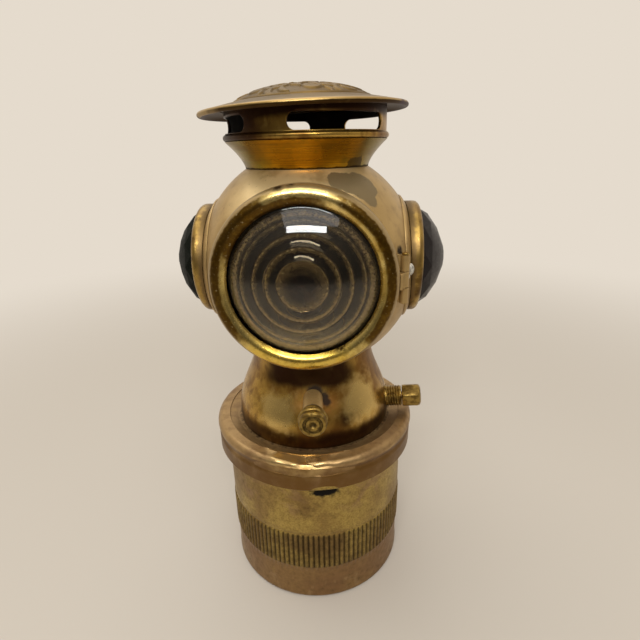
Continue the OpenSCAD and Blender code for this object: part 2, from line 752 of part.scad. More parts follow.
module filler_washer() {
    color("#4a3524") at_filler() translate([0, 0, spout_end]) tube(spout_r + 0.3, shank_r + 0.3, washer_t);
}

module filler_plug() {
    z = spout_end + washer_t;
    color(old_brass) at_filler() {
        turned([
            [0, z], [plug_r - 0.65, z], [plug_r - 0.45, z + 0.8], [plug_r - 0.65, z + 1.1],
            [plug_r, z + 1.8], [plug_r, z + 2.7], [plug_r - 0.45, z + 3.1], [plug_r - 0.25, z + 3.4],
            [plug_r - 0.25, z + 4.2], [plug_r - 0.7, z + 4.7], [plug_r - 1.3, z + 4.7],
            [plug_r - 1.5, z + 4.3], [plug_r - 2.1, z + 4.3], [plug_r - 2.3, z + 4.7],
            [0.9, z + 4.7], [0, z + 4]
        ]);
        translate([0, 0, z - washer_t - 3.6]) cylinder(r = shank_r, h = washer_t + 4);
    }
}

// The water valve: a threaded nipple in the bell, and a spindle with a six-sided knob
module at_valve() {
    rotate([0, 0, valve_turn]) translate([0, 0, tank_z + valve_z]) rotate([0, 90 - valve_rise, 0]) children();
}

nipple_end = bell_r + nipple_l;
knob_z = nipple_end + 0.3;

module valve_nipple() {
    color(brass) at_valve() translate([0, 0, bell_r - grip])
        tube(nipple_r, spindle_r + running, nipple_end - bell_r + grip);
}

module valve_spindle() {
    seat = (drip_x + drip_r) / cos(valve_rise) + 0.3;
    needle = 2.5;
    color(bright_brass) at_valve() {
        translate([0, 0, seat]) cylinder(r1 = port_r / 2, r2 = spindle_r, h = needle);
        translate([0, 0, seat + needle]) cylinder(r = spindle_r, h = knob_z + knob_l - 1 - seat - needle);
    }
}

module valve_knob() {
    color(bright_brass) at_valve() translate([0, 0, knob_z]) difference() {
        intersection() {
            rotate([0, 0, 5]) translate([0, 0, -1]) cylinder(r = knob_r + 0.12, h = knob_l + 2, $fn = 6);
            turned([
                [0, 0], [knob_r - 0.5, 0], [knob_r, 0.5], [knob_r, knob_l - 1.4], [knob_r - 0.5, knob_l - 0.5],
                [knob_r - 1.4, knob_l - 0.1], [0, knob_l]
            ]);
        }
        translate([0, 0, -1]) cylinder(r = spindle_r + solder, h = knob_l);
    }
}

// The bracket: a saddle on the back of the globe carries a socket for the bicycle's lamp bracket
saddle_y = globe_r + 1.6;
saddle_rivet_r = 0.9;
saddle_rivets = [for (x = [-1, 1], z = [-1, 1]) [x * (saddle_w / 2 - 2.4), z * (socket_h / 2 - 3)]];

module bracket_saddle() {
    color(brass) difference() {
        translate([-saddle_w / 2, 0, globe_z - socket_h / 2]) cube([saddle_w, saddle_y, socket_h]);
        translate([0, 0, globe_z]) sphere(r = globe_r + solder);
        for (p = saddle_rivets)
            translate([p[0], 0, globe_z + p[1]]) rotate([-90, 0, 0]) cylinder(r = saddle_rivet_r + solder, h = far);
    }
}

module bracket_socket() {
    y = saddle_y + solder;
    outer_w = socket_w + 2 * socket_wall;
    outer_d = socket_d + 2 * socket_wall;
    color(brass) difference() {
        translate([-outer_w / 2, y, globe_z - socket_h / 2]) cube([outer_w, outer_d, socket_h]);
        translate([-socket_w / 2, y + socket_wall, globe_z - socket_h / 2 - 1]) cube([socket_w, socket_d, socket_h + 2]);
        translate([0, y + socket_wall, globe_z]) rotate([-90, 0, 0]) cylinder(r = clamp_r + running, h = far);
        for (p = saddle_rivets)
            translate([p[0], 0, globe_z + p[1]]) rotate([-90, 0, 0]) cylinder(r = saddle_rivet_r + solder, h = y + 2);
    }
}

module bracket_rivets() {
    inner = globe_r - globe_wall;
    y = saddle_y + solder + socket_wall;
    color(bright_brass) for (p = saddle_rivets) {
        inside = sqrt(pow(inner, 2) - pow(p[0], 2) - pow(p[1], 2));
        translate([p[0], inside - 0.8, globe_z + p[1]]) rotate([-90, 0, 0])
            cylinder(r = saddle_rivet_r, h = y - inside + 0.8);
        translate([p[0], inside - 1.6, globe_z + p[1]]) rotate([-90, 0, 0]) cylinder(r = saddle_rivet_r + 0.7, h = 0.8);
    }
}

// The clamp screw: at rest its end is flush with the socket's inside
clamp_y = saddle_y + solder + 2 * socket_wall + socket_d;      // outer face of the socket
clamp_z = clamp_y + clamp_travel + 0.3;                        // inner face of the screw's head
clamp_head_l = 4.6;

module clamp_screw() {
    y = clamp_y - socket_wall;
    color(old_brass) translate([0, y, globe_z]) rotate([-90, 0, 0])
        cylinder(r = clamp_r, h = clamp_z + clamp_head_l - 1 - y);
}

module clamp_head() {
    ribs = 24;
    rib = [for (i = [0:ribs - 1], p = [[0, 0], [0.25, 0.4], [0.6, 0.4], [0.85, 0]])
        let (r = clamp_head_r - 0.4 + p[1], a = (i + p[0]) * 360 / ribs) [r * cos(a), r * sin(a)]];
    color(bright_brass) translate([0, clamp_z, globe_z]) rotate([-90, 0, 0]) difference() {
        union() {
            cylinder(r = clamp_r + 0.8, h = 1.2);
            translate([0, 0, 1]) linear_extrude(clamp_head_l - 1.6) polygon(rib);
            cylinder(r = clamp_head_r - 0.7, h = clamp_head_l);
        }
        translate([0, 0, -1]) cylinder(r = clamp_r + solder, h = clamp_head_l);
    }
}

globe();
tank_shell();
tank_top();
generator_top();
gas_tube();
drip_tube();
filter_pan();
filter_felt();
burner_holder();
burner_tip();
reflector();
reflector_post();
chimney_collar();
vent_ring();
cap();
to_side(-1) seat_ring();  // left_seat_ring
to_side(1) seat_ring();  // right_seat_ring
to_side(-1) bezel();  // left_bezel
to_side(1) bezel();  // right_bezel
color([0.1, 0.28, 0.16, 0.7]) to_side(-1) jewel();  // left_jewel
color([0.32, 0.06, 0.07, 0.7]) to_side(1) jewel();  // right_jewel
to_side(-1) jewel_spring();  // left_jewel_spring
to_side(1) jewel_spring();  // right_jewel_spring
hinge_leaf_fixed();
hinge_pin();
hinge_rivet();
filler_spout();
valve_nipple();
bracket_saddle();
bracket_socket();
bracket_rivets();
door_ring();
lens();
lens_spring();
hinge_leaf_door();
cup_seal();
carbide_cup();
filler_washer();
filler_plug();
valve_spindle();
valve_knob();
clamp_screw();
clamp_head();
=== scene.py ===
import bpy
import bmesh
from math import sin, cos, tan, asin, acos, atan2, sqrt, pi, radians, degrees, hypot
from mathutils import Matrix, Vector, kdtree, noise


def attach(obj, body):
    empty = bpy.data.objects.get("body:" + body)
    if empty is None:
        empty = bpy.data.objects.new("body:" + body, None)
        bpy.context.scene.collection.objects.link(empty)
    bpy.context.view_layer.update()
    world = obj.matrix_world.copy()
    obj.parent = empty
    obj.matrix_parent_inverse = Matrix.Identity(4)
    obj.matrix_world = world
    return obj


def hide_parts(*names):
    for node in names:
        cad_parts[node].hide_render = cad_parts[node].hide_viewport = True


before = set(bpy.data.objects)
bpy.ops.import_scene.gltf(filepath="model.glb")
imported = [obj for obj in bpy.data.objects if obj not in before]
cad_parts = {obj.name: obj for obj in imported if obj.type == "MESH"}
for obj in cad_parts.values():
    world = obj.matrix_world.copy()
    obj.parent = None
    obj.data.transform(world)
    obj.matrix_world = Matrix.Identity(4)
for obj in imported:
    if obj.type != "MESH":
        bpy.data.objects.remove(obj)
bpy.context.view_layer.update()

# Brass carbide headlamp for a bicycle: every length below is in millimetres unless a comment says so.
mm = 0.001
print("frame loaded:", len(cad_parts), "nodes")

# Places that several pieces share, the same as in the CAD frame
lamp = {
    "floorZ": 53.2, "tankZ": 54.2, "globeZ": 104.397, "collarZ": 131.154,
    "ventZ": 138.054, "capSeatZ": 146.504, "globeR": 31.7, "solder": 0.05, "lightRise": 1.2,
    "lean": 0.2, "capLean": 1.8,     # degrees
    "fillerTurn": 3.5, "fillerZ": 68.8, "valveTurn": -6, "valveZ": 57.0, "valveRise": 6,
}


# Small tools

def linear(code):
    # an sRGB hex colour as linear red, green, blue and alpha
    parts = [int(code[i:i + 2], 16) / 255 for i in (1, 3, 5)]
    return [c / 12.92 if c <= 0.04045 else ((c + 0.055) / 1.055) ** 2.4 for c in parts] + [1]


def nodeMaker(owner):
    # clears the nodes of a new material or world and gives the function that adds nodes to it
    owner.use_nodes = True
    tree = owner.node_tree
    tree.nodes.clear()

    def add(kind, settings={}, links={}, out=0):
        # sets the new node's properties, fills or links its inputs and gives one of its outputs
        node = tree.nodes.new("ShaderNode" + kind)
        for name, value in settings.items():
            setattr(node, name, value)
        for name, value in links.items():
            if isinstance(value, bpy.types.NodeSocket):
                tree.links.new(value, node.inputs[name])
            else:
                node.inputs[name].default_value = value
        return node.outputs[out] if node.outputs else None

    return add


# settings of nodes that are used often; a Map Range node's inputs are 0 the value, 1 and 2 from, 3 and 4 to
eased = {"interpolation_type": "SMOOTHSTEP"}
times, timesPlus, greater = [{"operation": name} for name in ("MULTIPLY", "MULTIPLY_ADD", "MAXIMUM")]


def perMetre(size):
    # a noise scale whose features are about this many millimetres wide
    return 1 / (size * mm)


toFront = Matrix.Translation((0, 0, lamp["globeZ"] * mm)) @ Matrix.Rotation(radians(90), 4, "X")
toLeft = Matrix.Translation((0, 0, (lamp["globeZ"] + lamp["lightRise"]) * mm)) @ Matrix.Rotation(radians(-90), 4, "Y")
toRight = Matrix.Scale(-1, 4, (1, 0, 0)) @ toLeft
toFiller = (Matrix.Rotation(radians(lamp["fillerTurn"]), 4, "Z")
            @ Matrix.Translation((0, 0, lamp["fillerZ"] * mm)) @ Matrix.Rotation(radians(90), 4, "X"))
toValve = (Matrix.Rotation(radians(lamp["valveTurn"]), 4, "Z") @ Matrix.Translation((0, 0, lamp["valveZ"] * mm))
           @ Matrix.Rotation(radians(90 - lamp["valveRise"]), 4, "Y"))
globeCentre = Vector((0, 0, lamp["globeZ"] * mm))


def leaning(angle, height):
    # turns the chimney to one side about a point on the lamp's axis
    pivot = Matrix.Translation((0, 0, height * mm))
    return pivot @ Matrix.Rotation(radians(-angle), 4, "Y") @ pivot.inverted()


chimneyPlace = leaning(lamp["lean"], lamp["globeZ"])
capPlace = leaning(lamp["capLean"], lamp["globeZ"] + lamp["globeR"] / 2)


def arc(cx, cz, r, start, end, steps):
    # points of an arc about (cx, cz), angles in degrees
    turns = [radians(start + (end - start) * i / steps) for i in range(steps + 1)]
    return [(cx + r * cos(a), cz + r * sin(a)) for a in turns]


def rows(r0, z0, r1, z1, count):
    # a straight stretch of profile, without its last point
    return [(r0 + (r1 - r0) * i / count, z0 + (z1 - z0) * i / count) for i in range(count)]


def spun(points, steps=256, closed=True):
    # turns a profile of (radius, height) about Z: an eighth of it first, then copies of that
    bm = bmesh.new()
    verts = [bm.verts.new((r * mm, 0, z * mm)) for r, z in points]
    for a, b in zip(verts, verts[1:]):
        bm.edges.new((a, b))
    if closed:
        bm.edges.new((verts[-1], verts[0]))
    part = 2 * pi / 8
    for angle, count, copies in ((part, steps // 8, False), (part * 7, 7, True)):
        bmesh.ops.spin(bm, geom=bm.verts[:] + bm.edges[:] + bm.faces[:], cent=(0, 0, 0), axis=(0, 0, 1),
                       dvec=(0, 0, 0), angle=angle, steps=count, use_merge=False, use_duplicate=copies)
    bmesh.ops.remove_doubles(bm, verts=bm.verts, dist=0.002 * mm)
    bmesh.ops.recalc_face_normals(bm, faces=bm.faces)
    return bm


def openMouth(bm, inside, pull):
    # deletes the faces inside a mouth and pulls the ragged edge onto its outline
    old = {v for v in bm.verts if v.is_boundary}
    bmesh.ops.delete(bm, geom=[f for f in bm.faces if all(inside(v.co) for v in f.verts)], context="FACES")
    for v in [v for v in bm.verts if v.is_boundary and v not in old]:
        v.co = pull(v.co)


def spot(v):
    # a vertex's place in millimetres, with its distance from the Z axis
    x, y, z = [c / mm for c in v.co]
    return x, y, z, hypot(x, y)


def off(x, y, z, place):
    # how far a point is from a place, in millimetres
    return (Vector((x, y, z)) - Vector(place)).length


def dent(bm, depth, size, seed, where=None):
    # presses the sheet in a little, never out, with smooth noise
    bm.normal_update()
    for v in bm.verts:
        amount = 0.5 + 0.5 * noise.noise(v.co * perMetre(size) + Vector((seed, seed * 1.7, seed * 0.3)))
        v.co -= v.normal * depth * mm * amount * (where(*spot(v)) if where else 1)


def mark(bm, share, name="grime"):
    # how much dirt, wear, painted shade or painted light lies at each point, from 0 to 1: the materials read it by its
    # name
    layer = bm.verts.layers.float.get(name) or bm.verts.layers.float.new(name)
    for v in bm.verts:
        v[layer] = max(v[layer], min(1, share(*spot(v))))


def smooth(low, high, value):
    # 0 below low, 1 above high and soft between them
    t = min(1, max(0, (value - low) / (high - low)))
    return t * t * (3 - 2 * t)


def finishPiece(name, bm, material, body, slot, node, place=None, sharp=35, thickness=0, edge=0, inner=None):
    # makes the mesh an object at the origin, smooth up to a sharp angle, parents it to its body and hides the CAD node
    if place is not None:
        bmesh.ops.transform(bm, matrix=place, verts=bm.verts)
        if place.determinant() < 0:
            bmesh.ops.reverse_faces(bm, faces=bm.faces)
    mesh = bpy.data.meshes.new(name)
    bm.to_mesh(mesh)
    bm.free()
    for face in mesh.polygons:
        face.use_smooth = True
    mesh.set_sharp_from_angle(angle=radians(sharp))
    mesh.materials.append(material)
    if inner:
        # the sheet's other side, where it looks towards the lamp's axis
        mesh.materials.append(inner)
        for face in mesh.polygons:
            face.material_index = int(not thickness and face.normal.dot(face.center * Vector((1, 1, 0))) < 0)
    piece = bpy.data.objects.new(name, mesh)
    bpy.context.scene.collection.objects.link(piece)
    if thickness:
        wall = piece.modifiers.new("wall", "SOLIDIFY")
        wall.thickness = thickness * mm
        wall.offset = -1
        wall.material_offset = 1 if inner else 0
    if edge:
        worn = piece.modifiers.new("worn edges", "BEVEL")
        worn.width = edge * mm
        worn.segments = 2
        worn.limit_method = "ANGLE"
        worn.angle_limit = radians(40)
    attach(piece, body)
    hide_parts(node)


def refined(name, node, material, body, slot, edge=0, sharp=35):
    # a smooth copy of a CAD node: loose triangles merged, flat faces joined and edges broken
    bm = bmesh.new()
    bm.from_mesh(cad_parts[node].data)
    bmesh.ops.remove_doubles(bm, verts=bm.verts, dist=0.001 * mm)
    bmesh.ops.dissolve_limit(bm, angle_limit=radians(0.5), verts=bm.verts, edges=bm.edges)
    finishPiece(name, bm, material, body, slot, node, sharp=sharp, edge=edge)


# Camera, floor and light

view = {
    "place": (10.42, -132.94, 135.98), "heading": 3.383, "down": 20.879, "roll": -1.273,   # degrees
    "lens": 25.3125,     # mm on a 36 mm sensor
}
camera = bpy.data.objects.new("camera", bpy.data.cameras.new("camera"))
camera.data.lens = view["lens"]
camera.data.sensor_width = 36
camera.data.clip_start = 0.005
camera.matrix_world = (Matrix.Translation(Vector(view["place"]) * mm)
                       @ Matrix.Rotation(radians(view["heading"]), 4, "Z")
                       @ Matrix.Rotation(radians(90 - view["down"]), 4, "X")
                       @ Matrix.Rotation(radians(view["roll"]), 4, "Z"))
bpy.context.scene.collection.objects.link(camera)
bpy.context.scene.camera = camera
bpy.context.scene.view_settings.view_transform = "Standard"

studio = {    # lengths in metres and power in watts; shade is how dark the room is on the camera's side
    "background": "#e5dbcd", "card": "#c9c1b5", "cardUntil": 0.15, "cardFrom": 0.5, "floorSize": 4, "shade": 0.12,
    "shadeWay": (0, 0.75, 0.66), "shadeEdge": (-0.7, 0.62), "fill": 0.66, "tableFrom": 0.05, "tableUntil": 0.75,
    "strip": {"power": 3.8, "size": (0.58, 0.096), "towards": (0, -0.777, 0.63), "distance": 0.9,
              "aim": (0, -0.03, 0.11)},
    "ceiling": {"power": 3.8, "size": (1.0, 0.7), "towards": (0.05, -0.52, 0.85), "distance": 1.1,
                "aim": (0, 0, 0.11)},
    "top": {"power": 7.5, "size": (1.4, 1.2), "towards": (-0.25, 0.3, 0.92), "distance": 1.4, "aim": (0, 0, 0.1)},
}
for name in ("strip", "ceiling", "top"):
    setup = studio[name]
    area = bpy.data.lights.new(name + "Light", "AREA")
    area.shape = "RECTANGLE"
    area.size, area.size_y = setup["size"]
    area.energy = setup["power"]
    lightObject = bpy.data.objects.new(name + "Light", area)
    direction = Vector(setup["towards"]).normalized()
    lightObject.location = Vector(setup["aim"]) + direction * setup["distance"]
    lightObject.rotation_euler = direction.to_track_quat("Z", "Y").to_euler()
    bpy.context.scene.collection.objects.link(lightObject)


def roomLight(add, way):
    # how bright gloss, glass and matt things find the room in one direction: it falls off towards the camera's side
    path = add("LightPath").node.outputs
    glossy = add("Math", greater, {0: path["Is Glossy Ray"], 1: path["Is Transmission Ray"]})
    level = add("MapRange", {}, {0: glossy, 3: studio["fill"]})
    side = add("VectorMath", {"operation": "DOT_PRODUCT"}, {0: way, 1: studio["shadeWay"]}, "Value")
    low, high = studio["shadeEdge"]
    fall = add("MapRange", eased, {0: side, 1: low, 2: high, 3: studio["shade"]})
    return add("Math", times, {0: level, 1: fall}), path["Is Camera Ray"]


# the camera sees an even pale background
world = bpy.data.worlds.new("studio")
bpy.context.scene.world = world
add = nodeMaker(world)
lit, seen = roomLight(add, add("TexCoord", out="Generated"))
strength = add("Math", greater, {0: lit, 1: seen})
sky = add("Background", {}, {"Color": linear(studio["background"]), "Strength": strength})
add("OutputWorld", {}, {"Surface": sky})

# matt white card: it keeps the lamp's shadow near by and fades into the background, and then the room, further off
card = bpy.data.materials.new("matt white card")
add = nodeMaker(card)
where = add("TexCoord", out="Object")
lit, seen = roomLight(add, add("VectorMath", {"operation": "NORMALIZE"}, {0: where}))
away = add("VectorMath", {"operation": "LENGTH"}, {0: where}, "Value")
fade = add("MapRange", eased, {0: away, 1: studio["cardUntil"], 2: studio["cardFrom"]})
table = add("MapRange", eased, {0: away, 1: studio["tableFrom"], 2: studio["tableUntil"], 3: 1, 4: lit})
strength = add("Math", greater, {0: table, 1: seen})
paper = add("VectorMath", {"operation": "SCALE"}, {0: linear(studio["card"])[:3], "Scale": strength})
near = add("BsdfDiffuse", {}, {"Color": paper})
beyond = add("Emission", {}, {"Color": linear(studio["background"]), "Strength": strength})
mixed = add("MixShader", {}, {0: fade, 1: near, 2: beyond})
add("OutputMaterial", {}, {"Surface": mixed})
floorMesh = bmesh.new()
bmesh.ops.create_circle(floorMesh, cap_ends=True, segments=64, radius=studio["floorSize"])
floorData = bpy.data.meshes.new("floor")
floorMesh.to_mesh(floorData)
floorMesh.free()
floorData.materials.append(card)
floor = bpy.data.objects.new("floor", floorData)
bpy.context.scene.collection.objects.link(floor)
print("camera and light set")


# Finishes

def coat(size, low, high, colour=None, amount=1, **more):
    # one layer of a finish: its patches are about this many millimetres wide, and it comes on up to its amount
    # while its noise, with the marks that it answers to, goes from low to high
    layer = dict(more, size=size, between=(low, high), amount=amount)
    return dict(layer, colour=colour) if colour else layer


def layered(name, base, rough, metal, layers):
    # a finish made of layers, each one laid over the ones before it: where comes from noise, from the dirt, wear,
    # painted shade and painted light that the meshes carry, or both, and spots keep a layer to some places of the lamp
    mat = bpy.data.materials.new(name)
    add = nodeMaker(mat)
    coords = add("TexCoord", out="Object")
    marks = {key: add("Attribute", {"attribute_name": key}, out="Fac")
             for key in ("grime", "wear", "rub") if any(key in layer for layer in layers)}
    colour, height = linear(base), None
    for layer in layers:
        low, high = layer["between"]
        place = add("Mapping", {}, {"Vector": coords, "Scale": layer.get("stretch", (1, 1, 1))})
        pattern = add("TexNoise", {}, {
            "Vector": place, "Scale": perMetre(layer["size"]), "Detail": layer.get("detail", 4),
            "Roughness": 0.55, "Distortion": layer.get("swirl", 0)})
        for key in marks:
            if key in layer:
                pattern = add("Math", timesPlus, {0: marks[key], 1: layer[key], 2: pattern})
        share = add("MapRange", eased, {0: pattern, 1: low, 2: high, 4: layer["amount"]})
        cover = None
        for x, y, z, radius, soft in layer.get("spots", ()):
            away = add("VectorMath", {"operation": "DISTANCE"}, {0: coords, 1: (x * mm, y * mm, z * mm)}, "Value")
            ragged = add("Math", timesPlus, {0: pattern, 1: -layer.get("ragged", soft) * mm, 2: away})
            one = add("MapRange", {}, {0: ragged, 1: (radius + soft / 2) * mm, 2: (radius - soft / 2) * mm})
            cover = add("Math", greater, {0: cover, 1: one}) if cover else one
        if cover:
            share = add("Math", times, {0: share, 1: cover})
        if "colour" in layer:
            colour = add("Mix", {"data_type": "RGBA"}, {0: share, 6: colour, 7: linear(layer["colour"])}, 2)
        if "rough" in layer:
            rough = add("Mix", {}, {0: share, 2: rough, 3: layer["rough"]})
        if "metallic" in layer:
            metal = add("Mix", {}, {0: share, 2: metal, 3: layer["metallic"]})
        if "relief" in layer:
            height = add("Math", timesPlus, {0: share, 1: layer["relief"] * mm, 2: height or 0.0})
    links = {"Base Color": colour, "Roughness": rough, "Metallic": metal}
    if height:
        links["Normal"] = add("Bump", {}, {"Height": height, "Distance": 1.0})
    surface = add("BsdfPrincipled", {}, links)
    add("OutputMaterial", {}, {"Surface": surface})
    return mat


# marks that old brass sheet carries: a faint grain, tarnish freckles, dirt and painted shade in the corners
grain = coat(0.35, 0.3, 0.75, detail=2, relief=0.006)
freckles = coat(0.8, 0.66, 0.74, "#4a3a22", 0.5, rough=0.65)
cornerDirtAndShade = coat(1.5, 0.75, 1.25, "#35260f", 0.9, detail=3, rough=0.65, grime=1.0)
insideGlobe = [(0, 0, lamp["globeZ"], lamp["globeR"] - 0.4, 0.3)]

# lathe-turned and hand-rubbed brass that has kept its yellow inside, with worn tan edges, brown painted shade on its
# flanks and painted highlights at its top and bottom
polishedBrass = layered("rubbed yellow brass", "#d6bd72", 0.23, 1, [
    coat(7, 0.42, 0.66, "#ad8c38", 0.7, rough=0.28),
    # painted highlight along the top of the ring
    coat(3, 0.2, 0.5, "#f2d68a", 0.85, rough=0.27,
         spots=[(-6, -26, 126.6, 4, 5), (1, -26, 127.6, 5, 5), (8, -26, 126.4, 3, 5)]),
    # painted highlight along the bottom of the ring
    coat(3, 0.2, 0.5, "#f0cb58", 0.8, rough=0.25,
         spots=[(-9, -27, 84, 4, 5), (-2, -27, 83, 5, 5), (6, -27, 83.4, 4, 5)]),
    # brown painted shade on the ring's flanks
    coat(2.5, 0.45, 1.1, "#4a2f05", 0.95, rough=0.36, detail=5, wear=0.75),
    coat(1.1, 0.45, 0.75, "#8a6a24", 0.4),
    coat(1.4, 0.7, 1.2, "#a88f62", 0.9, rough=0.42, metallic=0.7, grime=0.8),
    coat(0.7, 0.62, 0.7, "#cdb887", 0.4, rough=0.5),
    coat(1.6, 0.3, 0.5, "#3b2a12", rough=0.6, detail=5,
         spots=[(-5.1, -25.2, 127.7, 0.5, 1.2), (9.4, -25.5, 87.7, 1.0, 2.0), (-2.2, -25, 128.3, 0.3, 1.0)]),
    grain, freckles])

# spun sheet under a thin tan skin of handling, with painted light on the globe's top front: globe and side lights
tanBrass = layered("tan handled brass", "#c0a068", 0.38, 0.6, [
    coat(18, 0.36, 0.66, "#a98b57", rough=0.42, swirl=0.4),
    coat(2.6, 0.45, 0.75, "#8d7149", 0.4),
    # painted light: a paler patch on the globe's top front
    coat(8, 0.25, 0.5, "#ecd19a", 0.75,
         spots=[(-1, -20, 126.5, 6, 8), (-9, -18, 126, 4, 8), (7, -19, 126.5, 4, 8)]),
    coat(4, 0.1, 0.2, "#7d6c4c", 0.9, rough=0.45, ragged=3,
         spots=[(8.8, -18.7, 128.8, 1.2, 0.3), (12.3, -17.8, 128.1, 2.1, 0.3), (14.7, -16.6, 127.2, 3.1, 0.3),
                (16.6, -18.2, 124.0, 0.7, 0.3)]),
    coat(1.2, 0.3, 0.5, "#2b1d0c", detail=3, rough=0.6, spots=[(24.4, -19.0, 111.3, 0.75, 0.8)]),
    coat(6, 0, 0.1, "#1a1611", detail=3, rough=0.75, metallic=0.2, ragged=0, spots=insideGlobe),
    grain, freckles, cornerDirtAndShade])

# handled, dirty brass of the small turned pieces
fittingBrass = layered("dirty olive brass", "#9c8040", 0.33, 0.85, [
    coat(1.6, 0.42, 0.62, "#6d5526", rough=0.42),
    coat(1.2, 0.5, 1.1, "#33260f", 0.8, detail=3, rough=0.6, grime=0.9),
    grain])

# the side lights' bezels: dull gold rubbed bright on the crest, tan and brown below it, with a patch of painted shade
# low on the right bezel
bezelBrass = layered("dull gold brass", "#a98a47", 0.27, 0.9, [
    coat(5, 0.42, 0.6, "#8f7240", rough=0.38, stretch=(1, 1, 0.6)),
    coat(3, 0.55, 0.66, "#4d3514", 0.6, rough=0.4),
    # painted shade: a dark brown patch low on the right bezel
    coat(3, 0.3, 0.5, "#4a3212", 0.75, rough=0.4, spots=[(30.4, -14.6, 101.5, 2.6, 3)]),
    coat(1.4, 0.6, 1.2, "#77603c", 0.9, detail=3, rough=0.5, grime=0.9),
    grain, freckles])

# the same sheet where the weather has turned it pink and brown, with a painted highlight on the knocked shoulder: skirt
# and fittings
brownBrass = layered("pinkish brown brass", "#a98a5c", 0.38, 0.7, [
    coat(12, 0.38, 0.64, "#8a6c48", rough=0.44, swirl=0.5),
    coat(2.4, 0.45, 0.72, "#7a5d3a", 0.5),
    coat(3, 0.55, 0.8, "#c7a666", 0.5, rough=0.28, stretch=(0.5, 0.5, 2)),
    # painted highlight on the knocked front of the shoulder
    coat(3, 0.3, 0.5, "#d2b47a", 0.65, rough=0.2, metallic=1,
         spots=[(1, -30.6, 54.6, 3, 3), (-4, -30.4, 54.6, 3, 3), (-8, -29.6, 54.6, 2, 3)]),
    # darker brown on the skirt's outer wall below the shoulder
    coat(5, 0.5, 1.1, "#694817", 0.9, rough=0.42, detail=5, wear=0.62),
    grain, freckles, cornerDirtAndShade])

# polished thin and golden with olive patches, painted shade and painted highlights: bell and vent ring
goldenBrass = layered("golden brass", "#bf9848", 0.25, 0.9, [
    coat(13, 0.42, 0.62, "#835c24", rough=0.38, swirl=0.5),
    coat(3, 0.5, 0.64, "#6c4717", 0.55, stretch=(1, 1, 0.6)),
    # painted shade under the door, at the bell's foot and on the vent ring, and a dark smear beside the spout
    coat(9, 0.4, 1.3, "#2a1205", 0.96, rough=0.44, detail=2, wear=1.1),
    coat(2, 0.2, 0.5, "#b07a3c", 0.7, rough=0.4,
         spots=[(-1.2, -21.2, 68.0, 1.4, 3), (5.6, -21, 67.0, 1.4, 3)]),
    # dark grey solder beside the spout, and painted shadow above it
    coat(1.5, 0.2, 0.4, "#2c2520", 0.95, rough=0.6,
         spots=[(1.8, -20.6, 70.4, 2.1, 1), (4.4, -20.9, 69.4, 1.3, 1), (5.2, -21.1, 68.2, 0.9, 1)]),
    # painted highlights on the bell's belly
    coat(4, 0.6, 1.1, "#dcbc74", 0.8, rough=0.24, detail=3, rub=0.9),
    grain, freckles, dict(cornerDirtAndShade, amount=0.6, size=6, detail=2)])

# wiped amber brass with fine lines round it and a painted amber highlight at the front: the flared collar
amberBrass = layered("brushed amber brass", "#857325", 0.27, 1, [
    coat(6, 0.4, 0.66, "#75601c", rough=0.34, stretch=(0.5, 0.5, 2)),
    # painted highlight: brighter amber at the front of the collar
    coat(6, 0.2, 0.5, "#d2941a", 0.9, detail=3, spots=[(1.5, -19, 134.5, 8.5, 8)]),
    coat(2, 0.4, 0.65, "#86641f", 0.5, detail=2, stretch=(0.12, 0.12, 7), relief=0.006),
    coat(1.6, 0.05, 0.15, "#4d3d1c", 0.85, rough=0.5, detail=3, ragged=2,
         spots=[(12.9, -12.1, 131.2, 1.5, 0.3), (13.9, -10.9, 131.8, 1.2, 0.3)]),
    grain, freckles, cornerDirtAndShade])

# the cup's sheet: olive gold with a sandy grain, and pinkish brown below the ribs
sandyBrass = layered("sandy olive brass", "#bb9f53", 0.38, 0.7, [
    coat(15, 0.38, 0.66, "#93753f", rough=0.44, swirl=0.4),
    coat(0.55, 0.35, 0.7, "#866936", 0.6, detail=3, relief=0.008),
    coat(5, 0.3, 0.55, "#76572f", 0.7, spots=[(-2.0, -28.9, 38.5, 3, 5), (6.8, -28.2, 4.6, 2, 3)]),
    coat(4, 0.1, 0.4, "#8a6743", 0.8, ragged=1, spots=[(0, 0, -60, 78.2, 1.2)]),
    coat(2.5, 0.52, 0.66, "#a98a5e", 0.55, detail=5, stretch=(1, 1, 0.35), ragged=1,
         spots=[(0, 0, -60, 72.0, 1.2)]),
    coat(6, 0.46, 0.6, "#9c7a58", 0.5, detail=5, swirl=0.6, spots=[(-14, -26, 42, 9, 6), (16, -25, 43, 6, 5)]),
    coat(1.5, 0.2, 1.5, "#3a2a10", 0.9, detail=3, rough=0.7, grime=1.0),
    # painted shadow under the skirt's notch
    coat(1.5, 0.6, 1.2, "#120c05", detail=3, rough=0.8, wear=1.0),
    coat(0.8, 0.68, 0.76, "#4a3a22", 0.5, rough=0.65)])

